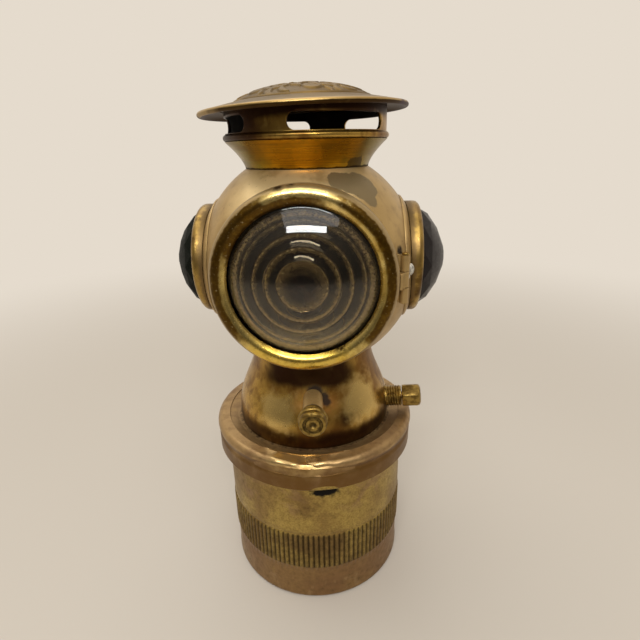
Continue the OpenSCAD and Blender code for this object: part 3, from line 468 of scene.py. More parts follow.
# the cap: khaki brown, its carved ground a little darker, the brim bronze and purple at its ends, with painted shade
# under the brim and a painted highlight along its roll
capBrass = layered("khaki brown brass", "#7b6233", 0.42, 0.85, [
    coat(9, 0.38, 0.66, "#6a5229", rough=0.46, swirl=0.4),
    coat(1.6, 0.45, 0.72, "#6a5132", 0.4),
    coat(1.5, 0.5, 1.35, "#5c4a2e", 0.45, detail=3, rough=0.55, grime=1.0),
    # painted shade under the brim
    coat(3, 0.5, 1.2, "#3a2612", 0.9, detail=3, rough=0.5, metallic=1, wear=1.0),
    # painted highlight along the brim's roll
    coat(4, 0.6, 1.1, "#c2a163", 0.75, rough=0.28, detail=3, rub=0.9),
    coat(5, 0.2, 0.5, "#5d4a27", 0.7, spots=[(-9, -17, 148.5, 6, 7)]),
    coat(5, 0.2, 0.5, "#b69a67", 0.8, spots=[(-22, -14, 145.6, 4, 5)]),
    coat(3, 0.3, 0.55, "#4b3743", 0.8, rough=0.5,
         spots=[(-28.6, -4, 144.6, 2, 3), (26.4, -11, 146, 2.4, 3), (28, -2, 146.5, 2.6, 3)]),
    grain, freckles])

# lamp black on the inside of the globe and the chimney: matt and nearly without colour
sootedBrass = layered("sooted brass", "#1d1812", 0.75, 0.2, [
    coat(6, 0.4, 0.7, "#33281a", rough=0.55)])

# small and hidden things: matt rubber, fibrous felt and leather, smoked steatite, grey solder and dull wire
rubber = layered("old rubber", "#2c2825", 0.75, 0, [
    coat(2, 0.4, 0.7, "#3d3833", detail=3, relief=0.02)])
felt = layered("wool felt", "#a89c84", 0.95, 0, [
    coat(0.6, 0.3, 0.7, "#877b64", detail=3, relief=0.05)])
leather = layered("brown leather", "#4a3424", 0.6, 0, [
    coat(0.8, 0.3, 0.7, "#33241a", detail=3, relief=0.03)])
steatite = layered("sooty steatite", "#3a2f25", 0.6, 0, [
    coat(2, 0.5, 0.7, "#231b15", 0.6, detail=3)])
tinSolder = layered("tin solder", "#ddd8c8", 0.45, 0.5, [
    coat(0.8, 0.4, 0.7, "#8f8b82", detail=3, relief=0.05)])
# the dish behind the burner: nickel gone dull and smoked brown
dullNickel = layered("smoked nickel plate", "#1c1613", 0.5, 1, [
    coat(6, 0.4, 0.7, "#100c0a", detail=3, rough=0.7)])
springWire = layered("spring wire", "#6f6656", 0.4, 1, [
    coat(1, 0.5, 0.7, "#4d3f2c", detail=3)])


def glass(name, look):
    # pressed glass under a film of dust, thicker where the mesh carries dust and painted light, and smoked where it
    # carries wear
    mat = bpy.data.materials.new(name)
    add = nodeMaker(mat)
    coords = add("TexCoord", out="Object")
    dustAndLightHere, smokeHere = [add("Attribute", {"attribute_name": key}, out="Fac") for key in ("grime", "wear")]
    clear = add("BsdfPrincipled", {}, {
        "Base Color": linear(look["colour"]), "Roughness": look["roughness"], "IOR": 1.52,
        "Specular IOR Level": look.get("gloss", 0.5), "Transmission Weight": 1.0})
    specks = add("TexNoise", {}, {
        "Vector": coords, "Scale": perMetre(look["speck"]), "Detail": 5.0, "Roughness": 0.7})
    thin, thick = look["film"]
    film = add("MapRange", {}, {0: specks, 1: 0.35, 2: 0.75, 3: thin, 4: thick})
    marks = add("Math", greater, {0: dustAndLightHere, 1: smokeHere})
    uneven = add("MapRange", {}, {0: specks, 1: 0.25, 2: 0.65, 3: 0.6})
    amount = add("Math", timesPlus, {0: marks, 1: uneven, 2: film})
    smoked = add("Math", {"operation": "MULTIPLY", "use_clamp": True}, {0: smokeHere, 1: 3.0})
    tint = add("Mix", {"data_type": "RGBA"}, {0: smoked, 6: linear(look["dust"]), 7: linear(look["smoke"])}, 2)
    dust = add("BsdfDiffuse", {}, {"Color": tint})
    mixed = add("MixShader", {}, {0: amount, 1: clear, 2: dust})
    add("OutputMaterial", {}, {"Surface": mixed})
    return mat


# the lens's pale film is dust and painted light
lensGlass = glass("clear lens glass", {"colour": "#d9c6a4", "roughness": 0.03, "speck": 0.7,
                                       "film": (-0.1, 0.07), "dust": "#f0d9a2", "smoke": "#2c1b16"})
greenGlass = glass("green pressed glass", {"colour": "#03150c", "roughness": 0.06, "speck": 1.2,
                                           "film": (0.8, 0.92), "dust": "#141711", "smoke": "#000000", "gloss": 0.3})
redGlass = glass("red pressed glass", {"colour": "#1c060c", "roughness": 0.06, "speck": 1.2,
                                       "film": (0.4, 0.7), "dust": "#2b2422", "smoke": "#000000", "gloss": 0.5})
print("finishes made")


# Carbide cup

cup = {
    "radius": 29, "height": 50.6, "wall": 0.8, "foot": 1.2, "bandZ": 12.6, "bandH": 13.5, "ribs": 114,
    "ribLow": -0.1, "ribHigh": 0.44, "ribWidth": 0.84, "ribDirt": 0.36, "neckR": 30.8, "neckZ": 45, "rimR": 25.9,
    "dents": (0.25, 22), "hole": (4.8, 42.9), "holeSize": (3.8, 1.6),
}
bandTop = cup["bandZ"] + cup["bandH"]


def cupProfile():
    r, top = cup["radius"], bandTop
    out = r + 0.2
    outside = ([(0, 0)] + rows(24, 0, r - cup["foot"], 0, 2) + arc(r - cup["foot"], cup["foot"], cup["foot"], -90, 0, 6)
               + rows(r, 2.2, r, cup["bandZ"] - 0.3, 6))
    for share in (0, 0.04, 0.1, 0.2, 0.5, 0.8, 0.9, 0.96, 1):
        outside.append((r, cup["bandZ"] + share * cup["bandH"]))
    outside += rows(r + 0.05, top + 0.3, out, top + 0.8, 2) + rows(out, top + 0.8, out, cup["neckZ"] - 1.8, 16)
    outside += rows(out, cup["neckZ"] - 1.8, cup["neckR"], cup["neckZ"], 5)
    outside += [(cup["neckR"], cup["neckZ"]), (cup["neckR"], cup["height"] - 0.3),
                (cup["neckR"] - 0.3, cup["height"])]
    inner = cup["height"] - cup["wall"]
    inside = [(cup["rimR"], cup["height"]), (cup["rimR"], inner), (cup["neckR"] - cup["wall"], inner),
              (cup["neckR"] - cup["wall"], cup["neckZ"]), (out - cup["wall"], cup["neckZ"] - 1.8),
              (r - cup["wall"], top), (r - cup["wall"], cup["foot"]), (r - cup["foot"], cup["wall"]), (0, cup["wall"])]
    return outside + inside


def ribHeight(turn):
    # rounded crest, narrow groove: turn counts ribs
    away = abs(turn % 1 - 0.5) / (cup["ribWidth"] / 2)
    return sqrt(1 - away ** 2) if away < 1 else 0


def ribDirt(x, y, z, r):
    # dirt lies between the ribs, and thinly on them
    low = (cup["radius"] + cup["ribHigh"] * 0.75 - r) / (cup["ribHigh"] * 0.8)
    return max(cup["ribDirt"], low) if cup["bandZ"] + 0.2 < z < bandTop - 0.2 else 0


def holeDark(x, y, z, r):
    # a painted shadow under the skirt's notch, standing for a dark gap there
    across, up = [(a - b) / size for a, b, size in zip((x, z), cup["hole"], cup["holeSize"])]
    return 1.5 - hypot(across, up) if y < 0 else 0


cupMesh = spun(cupProfile(), cup["ribs"] * 8)
for v in cupMesh.verts:
    x, y, z, r = spot(v)
    ends = min(z - cup["bandZ"], bandTop - z) / 0.7
    if r > cup["radius"] - 0.1 and ends > 0:
        rib = ribHeight(atan2(y, x) / (2 * pi) * cup["ribs"])
        grown = (r + (cup["ribLow"] + (cup["ribHigh"] - cup["ribLow"]) * rib) * min(1, ends)) / r
        v.co.x *= grown
        v.co.y *= grown
mark(cupMesh, ribDirt)
dent(cupMesh, *cup["dents"], 3, lambda x, y, z, r: 3 < z < 44)
# painted shadow under the skirt's notch
mark(cupMesh, holeDark, "wear")
finishPiece("carbideCup", cupMesh, sandyBrass, "cup", "tarnished_brass", "carbide_cup")
refined("cupSeal", "cup_seal", rubber, "seal", "black_rubber", 0.3)
print("cup made")


# Tank: floor with skirt, bell, fittings

skirt = {"inner": 31.2, "outer": 32, "low": 45.6, "shoulderR": 30.2, "shoulderZ": 53.3, "round": 2.05,
         "dish": 2, "bellR": 24.8, "notchTurn": -81.5, "notchHalf": 3.75, "notchRise": 1.2, "notchTop": 49,
         "dents": (0.3, 14)}
knock = {"turn": -92, "half": 30, "from": 27.5, "above": 51, "dents": (1.3, 4.2)}    # angles in degrees


def skirtProfile():
    s = skirt
    outside = ([(s["inner"], s["low"] + 0.15), (s["inner"] + 0.2, s["low"]), (s["outer"] - 0.2, s["low"]),
                (s["outer"], s["low"] + 0.2)] + rows(s["outer"], 46.4, s["outer"], 50.4, 5)
               + [(s["outer"], 50.4), (s["outer"] - 0.25, 50.8), (s["outer"] - 0.3, 51.2), (s["outer"] - 0.3, 51.7)]
               + arc(s["shoulderR"], s["shoulderZ"], s["round"], -25, 90, 14)
               + arc(s["shoulderR"] - s["dish"], s["shoulderZ"] + s["round"] - 0.15, 0.2, 80, 100, 2)
               + rows(28, 55.1, s["bellR"], lamp["tankZ"], 6) + [(s["bellR"], lamp["tankZ"]), (0, lamp["tankZ"])])
    return outside + [(0, lamp["floorZ"]), (s["inner"] - 0.3, lamp["floorZ"]), (s["inner"], lamp["floorZ"] - 0.3)]


skirtMesh = spun(skirtProfile(), 384)
for v in skirtMesh.verts:
    x, y, z, r = spot(v)
    away = abs(degrees(atan2(y, x)) - skirt["notchTurn"]) * pi / 180 * skirt["outer"]
    if away < skirt["notchHalf"] and z < skirt["notchTop"] and r > 31:
        rise = skirt["notchRise"] * sqrt(1 - (away / skirt["notchHalf"]) ** 2)
        v.co.z += rise * mm * (skirt["notchTop"] - z) / (skirt["notchTop"] - skirt["low"])


def crumple(x, y, z, r):
    # the shoulder was knocked flat at the front
    turn = (degrees(atan2(y, x)) - knock["turn"]) / knock["half"]
    return max(0, 1 - turn ** 2) * min(1, (r - knock["from"]) / 2) if r > knock["from"] and z > knock["above"] else 0


# dirt and painted shade where the bell meets the skirt
mark(skirtMesh, lambda x, y, z, r: 0.5 - (r - skirt["bellR"]) / 2 if z > lamp["floorZ"] else 0)
# darker on the outer wall below the shoulder
mark(skirtMesh, lambda x, y, z, r: 0.8 * smooth(53.6, 52.4, z) * smooth(29, 31, r), "wear")
dent(skirtMesh, *knock["dents"], 5, crumple)
dent(skirtMesh, *skirt["dents"], 9, lambda x, y, z, r: r > 25)
finishPiece("tankSkirt", skirtMesh, brownBrass, "lamp", "tarnished_brass", "generator_top")

bell = {"radius": 24.5, "neck": 18.7, "height": 24.6, "belly": 3.8, "wall": 0.8, "dents": (0.35, 13),
        "patch": (11, -21.2, 62.6), "patchR": 4.5,    # a dark patch beside the spout
        "highlightSpots": (((15.5, -16.3, 66.4), 11, 1), ((-9.5, -20.6, 64.5), 10, 0.75))}    # painted highlights on the belly: middle, reach and strength


def bellOut(z):
    b = bell
    if z < b["belly"]:
        return b["radius"] - 0.3 * (1 - z / b["belly"]) ** 2
    return b["neck"] + (b["radius"] - b["neck"]) * (1 + cos(pi * (z - b["belly"]) / (b["height"] - b["belly"]))) / 2


heights = [bell["height"] * i / 60 for i in range(61)]
bellProfile = [(bellOut(z), lamp["tankZ"] + z) for z in heights]
seatR = lamp["globeR"] + lamp["solder"]


def aboveGlobe(r, radius):
    # height of a sphere's surface above its centre, this far from the axis
    return sqrt(radius ** 2 - r ** 2)


def onGlobe(r, side=1):
    # height of the globe's surface above the floor, this far from the lamp's axis
    return lamp["globeZ"] + side * aboveGlobe(r, seatR)


bellProfile += [(bell["neck"], onGlobe(bell["neck"], side=-1)),
                (bell["neck"] - bell["wall"], onGlobe(bell["neck"] - bell["wall"], side=-1))]
bellProfile += [(bellOut(z) - bell["wall"], lamp["tankZ"] + z) for z in heights[-2::-1]]
bellMesh = spun(bellProfile)
# dirt and painted shade at the bell's foot, where it meets the skirt
mark(bellMesh, lambda x, y, z, r: 0.6 - (z - lamp["tankZ"]) / 2)
# painted shade on the bell's front, under the door
mark(bellMesh, lambda x, y, z, r: smooth(69.5, 75, z) * smooth(-12, -18.5, y), "wear")
mark(bellMesh, lambda x, y, z, r: 0.75 * (1 - off(x, y, z, bell["patch"]) / bell["patchR"]), "wear")
# painted shade low on the bell
mark(bellMesh, lambda x, y, z, r: 0.62 * smooth(62, 57, z), "wear")
# painted highlights on the bell's belly
for place, reach, strength in bell["highlightSpots"]:
    mark(bellMesh, lambda x, y, z, r: strength * smooth(reach, 0, off(x, y, z, place)), "rub")
dent(bellMesh, *bell["dents"], 2, lambda x, y, z, r: min(1, max(0, (z - 55) / 3)) * min(1, max(0, (77 - z) / 3)))
finishPiece("tankBell", bellMesh, goldenBrass, "lamp", "aged_brass", "tank_shell")

plug = {"spoutR": 2.85, "shankR": 1.9, "end": 28.7, "washer": 0.6, "radius": 4.05, "ringPitch": 0.85}
fillerStart = bellOut(lamp["fillerZ"] - lamp["tankZ"]) - 3
spoutProfile = [(plug["shankR"] + 0.3, fillerStart), (plug["spoutR"], fillerStart)]
ringZ = fillerStart + 2.5
while ringZ < plug["end"] - 0.8:
    spoutProfile += [(plug["spoutR"] - deep, ringZ + up) for deep, up in ((0, 0), (0.1, 0.22), (0.1, 0.38), (0, 0.6))]
    ringZ += plug["ringPitch"]
spoutProfile += [(plug["spoutR"], plug["end"] - 0.15), (plug["spoutR"] - 0.15, plug["end"]),
                 (plug["shankR"] + 0.3, plug["end"])]
finishPiece("fillerSpout", spun(spoutProfile, 64), tanBrass, "lamp", "aged_brass", "filler_spout", toFiller)
z, p = plug["end"] + plug["washer"], plug["radius"]
plugProfile = ([(0, z), (p - 0.65, z), (p - 0.45, z + 0.4), (p - 0.45, z + 0.8), (p - 0.65, z + 1.1)]
               + arc(p - 0.75, z + 2.2, 0.75, -50, 60, 7)
               + [(p - 0.45, z + 3.1)] + arc(p - 0.65, z + 3.9, 0.4, -30, 0, 3) + arc(p - 0.9, z + 4.2, 0.5, 20, 90, 4)
               + [(p - 1.3, z + 4.68), (p - 1.5, z + 4.3), (p - 1.8, z + 4.22), (p - 2.1, z + 4.3), (p - 2.3, z + 4.66),
                  (p - 2.55, z + 4.69), (1.0, z + 4.66), (0.75, z + 4.4), (0.45, z + 4.1), (0, z + 4)])
plugMesh = spun(plugProfile, 72)
shank = spun([(0, z - 4.2), (plug["shankR"], z - 4.2), (plug["shankR"], z), (0, z)], 48)
shankData = bpy.data.meshes.new("shank")
shank.to_mesh(shankData)
shank.free()
plugMesh.from_mesh(shankData)
plugEnd = z + 4.7
mark(plugMesh, lambda x, y, z, r: 0.5 * smooth(p - 0.35, p - 0.75, r) * smooth(plugEnd, plugEnd - 0.4, z))
finishPiece("fillerPlug", plugMesh, fittingBrass, "plug", "tarnished_brass", "filler_plug", toFiller)
refined("fillerWasher", "filler_washer", leather, "washer", "brown_leather")

valve = {"radius": 3.4, "start": 21.5, "end": 29.1, "bore": 1.26, "threadFrom": 24.2, "pitch": 0.8, "depth": 0.34}
threadRows = int((valve["end"] - 0.2 - valve["threadFrom"]) / (valve["pitch"] / 8))
nippleProfile = ([(valve["bore"], valve["start"]), (valve["radius"], valve["start"])]
                 + rows(valve["radius"], valve["threadFrom"], valve["radius"], valve["end"] - 0.2, threadRows)
                 + [(valve["radius"] - 0.1, valve["end"] - 0.1), (valve["radius"] - 0.35, valve["end"]),
                    (valve["bore"], valve["end"])])
nippleMesh = spun(nippleProfile, 64)
for v in nippleMesh.verts:
    x, y, z, r = spot(v)
    if r > valve["radius"] - 0.2 and z > valve["threadFrom"]:
        turn = (z / valve["pitch"] - atan2(y, x) / (2 * pi)) % 1
        cut = valve["depth"] * (1 - abs(2 * turn - 1)) * min(1, (z - valve["threadFrom"]) / 0.4)
        v.co.x *= (r - cut) / r
        v.co.y *= (r - cut) / r
finishPiece("valveNipple", nippleMesh, fittingBrass, "lamp", "aged_brass", "valve_nipple", toValve)
refined("valveKnob", "valve_knob", fittingBrass, "knob", "bright_brass", 0.25)
refined("valveSpindle", "valve_spindle", brownBrass, "spindle", "bright_brass")
print("tank made")


# Globe

globe = {"radius": 31.7, "wall": 0.8, "mouth": 22.4, "lip": 2.5, "flue": 15.6, "neck": 17.5, "side": 13.6}
lipZ = sqrt((globe["radius"] - globe["wall"]) ** 2 - globe["mouth"] ** 2) + 0.3
start = degrees(acos(globe["mouth"] / globe["radius"]))
inner = globe["mouth"] - globe["wall"]
globeProfile = ([(inner, lipZ - globe["lip"]), (inner, lipZ - 1), (inner + 0.06, lipZ - 0.3), (inner + 0.3, lipZ + 0.3)]
                + arc(0, 0, globe["radius"], start, -90, 110))
globeMesh = spun(globeProfile, 288, closed=False)
bmesh.ops.transform(globeMesh, matrix=toFront, verts=globeMesh.verts)


def mouthOnGlobe(axis, radius, rise):
    # tests and pull for a round mouth along an axis, its centre raised above the globe's
    centre = globeCentre + Vector((0, 0, rise * mm))
    axis = Vector(axis)

    def apart(co):
        away = co - centre
        return away - axis * away.dot(axis), away.dot(axis)

    def inside(co):
        side, along = apart(co)
        return along > 0 and side.length < radius * mm

    def pull(co):
        side, along = apart(co)
        rest = centre + side.normalized() * radius * mm - globeCentre
        flat = rest - axis * rest.dot(axis)
        return globeCentre + flat + axis * sqrt((globe["radius"] * mm) ** 2 - flat.length_squared)

    return inside, pull


for axis, radius, rise in (((0, 0, 1), globe["flue"], 0), ((0, 0, -1), globe["neck"], 0),
                           ((1, 0, 0), globe["side"], lamp["lightRise"]),
                           ((-1, 0, 0), globe["side"], lamp["lightRise"])):
    openMouth(globeMesh, *mouthOnGlobe(axis, radius, rise))
bmesh.ops.recalc_face_normals(globeMesh, faces=globeMesh.faces)
finishPiece("globeShell", globeMesh, tanBrass, "lamp", "aged_brass", "globe", thickness=globe["wall"])
print("globe made")


# Door: rounded ring and stepped lens

door = {"radius": 24.15, "round": 2.65, "reach": 24.195, "wall": 0.7, "gap": 0.3, "dents": (0.12, 9)}
tubeR = door["radius"] - door["round"]
clearR = globe["radius"] + door["gap"]
ringProfile = ([(door["radius"] - deep, aboveGlobe(door["radius"] - deep, clearR) + up)
                for deep, up in ((door["wall"], 0), (0.1, 0), (0, 0.15))]
               + rows(door["radius"], 22, door["radius"], door["reach"], 3)
               + arc(tubeR, door["reach"], door["round"], 0, 150, 28)
               + arc(tubeR, door["reach"], door["round"] - door["wall"], 150, 0, 20))
ringMesh = spun(ringProfile, 320)
mark(ringMesh, lambda x, y, z, r: smooth(22.7, 23.7, r))


def flankShade(x, y, z, r):
    # painted shade: the crest is darkened to brown at both sides of the door and at its upper left, and stays bright at
    # its top and bottom
    turn = degrees(atan2(y, x))
    side = max(smooth(75, 55, abs(turn)) * smooth(-50, -35, turn), smooth(105, 125, turn) + smooth(-130, -150, turn))
    shaded = 0.9 * smooth(60, 90, turn) * smooth(178, 150, turn) * smooth(21.8, 20.8, r)
    return max(shaded, min(1, side) * smooth(20.2, 21.6, r) * smooth(24.2, 23.4, r))


mark(ringMesh, flankShade, "wear")
dent(ringMesh, *door["dents"], 4)
finishPiece("doorRing", ringMesh, polishedBrass, "door", "bright_brass", "door_ring", toFront)

lens = {"bulge": 5.6, "thick": 4, "front": 24.9, "back": 23.7, "radius": 23,
        "eye": 6.2, "step": 3.2, "stepH": 0.6, "bow": 0.12, "edge": 0.1, "eyeDust": 0.6}
domeR = tubeR - door["round"] * cos(radians(30)) - 0.3
frontCurve = (domeR ** 2 + lens["bulge"] ** 2) / (2 * lens["bulge"])
backRise = lens["front"] + lens["bulge"] - lens["thick"] - lens["back"]
backCurve = (domeR ** 2 + backRise ** 2) / (2 * backRise)


def dome(r, edge, rise, curve):
    return edge + rise - curve + sqrt(curve ** 2 - r ** 2)


lensProfile = [(domeR * i / 40, dome(domeR * i / 40, lens["front"], lens["bulge"], frontCurve)) for i in range(41)]
lensProfile += [(lens["radius"] - 0.2, lens["front"]), (lens["radius"], lens["front"] - 0.2),
                (lens["radius"], lens["back"] + 0.2), (lens["radius"] - 0.2, lens["back"]), (domeR, lens["back"])]
stepRadii = [lens["eye"] + lens["step"] * i for i in range(int((domeR - 1 - lens["eye"]) / lens["step"]) + 1)]
outerR, outerZ = domeR, lens["back"]
for r in reversed(stepRadii):
    # a zone bows out a little from the step outside it to this one, and then the glass drops back
    z = dome(r, lens["back"], backRise, backCurve)
    lensProfile += [(outerR + (r + lens["edge"] - outerR) * t, outerZ + (z - outerZ) * t - lens["bow"] * sin(pi * t))
                    for t in [i / 8 for i in range(1, 9)]]
    lensProfile += [(r, z - lens["edge"]), (r, z - lens["stepH"] + lens["edge"])]
    outerR, outerZ = r - lens["edge"], z - lens["stepH"]
eyeTop = dome(0, lens["back"], backRise, backCurve)
lensProfile += [(outerR * (1 - t), outerZ + (eyeTop - outerZ) * t * (2 - t)) for t in [i / 10 for i in range(11)]]
lensMesh = spun(lensProfile)


def dustAndLight(x, y, z, r):
    # on the back, a pale film of dust and painted light thickens from each step out to the next one and most at the
    # bottom: it lights the steps and the lower half, and leaves painted shade just outside each step
    if z > dome(min(r, domeR), lens["back"], backRise, backCurve) + 0.4 or r > domeR:
        return 0
    edges = [0] + stepRadii + [domeR]
    low, high = [(a, b) for a, b in zip(edges, edges[1:]) if a - 0.06 <= r <= b + 0.06][-1]
    if high < domeR:
        share = smooth(low + (high - low) * 0.3, high, r) ** 1.4 * (1 if low else lens["eyeDust"])
    else:
        share = smooth(low, low + 1, r) * smooth(high, high - 2, r)
    return share * (0.4 + 0.6 * smooth(8, -16, y))


mark(lensMesh, dustAndLight)
# painted light: a pale film on the front, lower edge of the dome
mark(lensMesh, lambda x, y, z, r: 0.3 * smooth(-6, -19, y) * smooth(domeR, domeR - 1.5, r)
     if z > lens["front"] + 0.1 else 0)
mark(lensMesh, lambda x, y, z, r: 0.4 * smooth(5.2, 2.5, hypot(x, y + 0.5)) if z < eyeTop + 1 else 0, "wear")
finishPiece("doorLens", lensMesh, lensGlass, "door", "clear_glass", "lens", toFront)
refined("lensSpring", "lens_spring", springWire, "door", "spring_wire")
refined("hingeDoorLeaf", "hinge_leaf_door", tanBrass, "door", "bright_brass", 0.08)
refined("hingeGlobeLeaf", "hinge_leaf_fixed", tanBrass, "lamp", "tarnished_brass", 0.08)
refined("hingePin", "hinge_pin", bezelBrass, "lamp", "tarnished_brass", 0.08)
# the fixed leaf's rivet, with the dab of solder that shows beside it on the light's flange
dab = {"place": (27.75, -16.3, 105.7), "size": (0.95, 0.8, 1.6)}
rivetMesh = bmesh.new()
bmesh.ops.create_uvsphere(rivetMesh, u_segments=24, v_segments=16, radius=mm,
                          matrix=Matrix.Translation(Vector(dab["place"]) * mm) @ Matrix.Diagonal((*dab["size"], 1)))
rivetMesh.from_mesh(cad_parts["hinge_rivet"].data)
bmesh.ops.remove_doubles(rivetMesh, verts=rivetMesh.verts, dist=0.001 * mm)
finishPiece("hingeRivet", rivetMesh, tinSolder, "lamp", "soft_solder", "hinge_rivet")
print("door made")


# Side lights

light = {"seatOut": 15.1, "seatIn": 14, "flangeR": 17.6, "flangeT": 0.45, "seatEnd": 28.924,
         "bezelR": 15.9, "bezelD": 29.924, "bezelRound": 1.5, "bezelWall": 0.75}


def seatProfile():
    top, flange, out, end = seatR + light["flangeT"], light["flangeR"], light["seatOut"], light["seatEnd"]
    outer = [(flange, aboveGlobe(flange, seatR) + 0.05), (flange, aboveGlobe(flange, seatR) + 0.35)]
    outer += [(r, aboveGlobe(r, top)) for r in (17.4, 17, 16.5, 16, 15.5, 15.2)]
    outer += [(out, aboveGlobe(out, top) + 0.15), (out, end - 0.1), (out - 0.1, end), (light["seatIn"], end)]
    return outer + [(r, aboveGlobe(r, seatR)) for r in (14, 14.8, 15.6, 16.4, 17.2)]


def bezelProfile():
    r, bow, wall = light["bezelR"], light["bezelRound"], light["bezelWall"]
    return ([(r - wall, 28.3), (r - 0.1, 28.2), (r, 28.35)] + arc(r - bow, light["bezelD"], bow, 0, 90, 16)
            + arc(r - bow, light["bezelD"], bow - wall, 90, 0, 12))


def followGlobe(bm, radius, below):
    # the globe's centre lies a little under the side light's axis, so the seat is not quite round
    for v in bm.verts:
        x, y, z, r = spot(v)
        if z < below:
            plain = sqrt(radius ** 2 - x * x - y * y)
            v.co.z = (z + sqrt(radius ** 2 - (x + lamp["lightRise"]) ** 2 - y * y) - plain) * mm


for side, place, jewelGlass, jewelSlot in (("left", toLeft, greenGlass, "green_glass"),
                                           ("right", toRight, redGlass, "red_glass")):
    seatMesh = spun(seatProfile())
    followGlobe(seatMesh, seatR, 28.5)
    # dirt and painted shade at the seat's inner rim, by the bezel
    mark(seatMesh, lambda x, y, z, r: smooth(16.4, 15.4, r))
    finishPiece(side + "Seat", seatMesh, tanBrass, "lamp", "aged_brass", side + "_seat_ring", place)
    bezelMesh = spun(bezelProfile())
    followGlobe(bezelMesh, globe["radius"] + 0.6, 28.4)
    mark(bezelMesh, lambda x, y, z, r: smooth(29.2, 28.6, z))
    finishPiece(side + "Bezel", bezelMesh, bezelBrass, "lamp", "tarnished_brass", side + "_bezel", place)
    refined(side + "Jewel", side + "_jewel", jewelGlass, "lamp", jewelSlot, 0.08, sharp=12)
    refined(side + "JewelSpring", side + "_jewel_spring", springWire, "lamp", "spring_wire")
print("side lights made")


# Chimney

chimney = {"collarR": 17, "ventR": 21.8, "collarH": 6.9, "wall": 0.7, "beadH": 1.7, "slotH": 3.9,
           "rowsLow": 140.05, "rowsHigh": 143.95,
           "slots": ((-61.4, 36), (32.85, 27.5), (118.6, 27.5), (204.35, 27.5))}    # middle and half width in degrees
ch = chimney
ventTop = lamp["capSeatZ"] - lamp["solder"]


def flare(t):
    return ch["collarR"] + (ch["ventR"] + 0.3 - ch["collarR"]) * t ** 1.5


low = onGlobe(ch["collarR"])
collarProfile = [(ch["collarR"] - ch["wall"], onGlobe(ch["collarR"] - ch["wall"])), (ch["collarR"], low)]
collarProfile += [(flare(i / 40), max(low + 0.02, lamp["collarZ"] + ch["collarH"] * i / 40)) for i in range(1, 41)]
collarProfile += [(flare(i / 40) - ch["wall"], lamp["collarZ"] + ch["collarH"] * i / 40) for i in range(40, 3, -1)]
collarMesh = spun(collarProfile)
# dirt and painted shade where the collar meets the globe
mark(collarMesh, lambda x, y, z, r: 1 - (z - low) / 0.8)
finishPiece("chimneyCollar", collarMesh, amberBrass, "lamp", "bright_brass", "chimney_collar", chimneyPlace,
            inner=sootedBrass)

beadR = ch["ventR"] + 0.7
base = lamp["ventZ"] + lamp["solder"]
slotZ = lamp["ventZ"] + ch["beadH"] + 0.3 + ch["slotH"] / 2
ventProfile = ([(ch["ventR"] - 0.1, base + 0.15), (beadR - 0.6, base)]
               + arc(beadR - ch["beadH"] / 2, base + ch["beadH"] / 2, ch["beadH"] / 2, -70, 60, 12)
               + [(ch["ventR"] + 0.05, base + ch["beadH"] + 0.05), (ch["ventR"], base + ch["beadH"] + 0.15)]
               + rows(ch["ventR"], ch["rowsLow"], ch["ventR"], ch["rowsHigh"], 13)
               + rows(ch["ventR"], ch["rowsHigh"], ch["ventR"], ventTop, 4) + [(ch["ventR"], ventTop)])
ventMesh = spun(ventProfile, 360, closed=False)
seatPlane = chimneyPlace.inverted() @ capPlace
seatPoint = seatPlane @ Vector((0, 0, ventTop * mm))
seatNormal = seatPlane.to_3x3() @ Vector((0, 0, 1))
for v in ventMesh.verts:
    # the top rows follow the slanting seat of the cap
    if v.co.z > ch["rowsHigh"] * mm + 0.05 * mm:
        away = v.co - seatPoint
        top = seatPoint.z - (seatNormal.x * away.x + seatNormal.y * away.y) / seatNormal.z
        start = ch["rowsHigh"] * mm
        v.co.z = start + (v.co.z - start) * (top - start) / (ventTop * mm - start)
for middle, half in ch["slots"]:
    slotEnd = (radians(half) - asin(ch["slotH"] / 2 / ch["ventR"])) * ch["ventR"]
    middle = radians(middle)

    def across(co):
        # along the sheet and up it, from the slot's middle
        turn = (atan2(co.y, co.x) - middle + pi) % (2 * pi) - pi
        return turn * ch["ventR"], co.z / mm - slotZ

    def inSlot(co):
        s, h = across(co)
        return hypot(max(abs(s) - slotEnd, 0), h) < ch["slotH"] / 2 and hypot(co.x, co.y) > 20 * mm

    def toSlot(co):
        s, h = across(co)
        hub = max(-slotEnd, min(slotEnd, s))
        away = Vector((s - hub, h)).normalized() * ch["slotH"] / 2
        turn = middle + (hub + away.x) / ch["ventR"]
        return Vector((ch["ventR"] * cos(turn), ch["ventR"] * sin(turn), slotZ + away.y)) * mm

    openMouth(ventMesh, inSlot, toSlot)
# painted shade on the vent ring under the cap and on its left side
mark(ventMesh, lambda x, y, z, r: smooth(142, 145.5, z) + 0.7 * smooth(-3, -16, x), "wear")
finishPiece("ventRing", ventMesh, goldenBrass, "lamp", "aged_brass", "vent_ring", chimneyPlace, thickness=ch["wall"],
            inner=sootedBrass)

cap = {"brimR": 28, "domeR": 18.6, "domeH": 4.3, "full": 0.72, "slope": 12, "roll": 0.65, "wall": 0.7,
       "carved": 0.42, "shift": 0.8}


def brimZ(r):
    return lamp["capSeatZ"] + (ch["ventR"] - r) * tan(radians(cap["slope"]))


rollR = cap["brimR"] - cap["roll"]


def domeZ(share):
    # the dome's curve above the brim, this share of its radius from the middle
    return brimZ(cap["domeR"]) + cap["domeH"] * max(0, 1 - share ** 2) ** cap["full"]


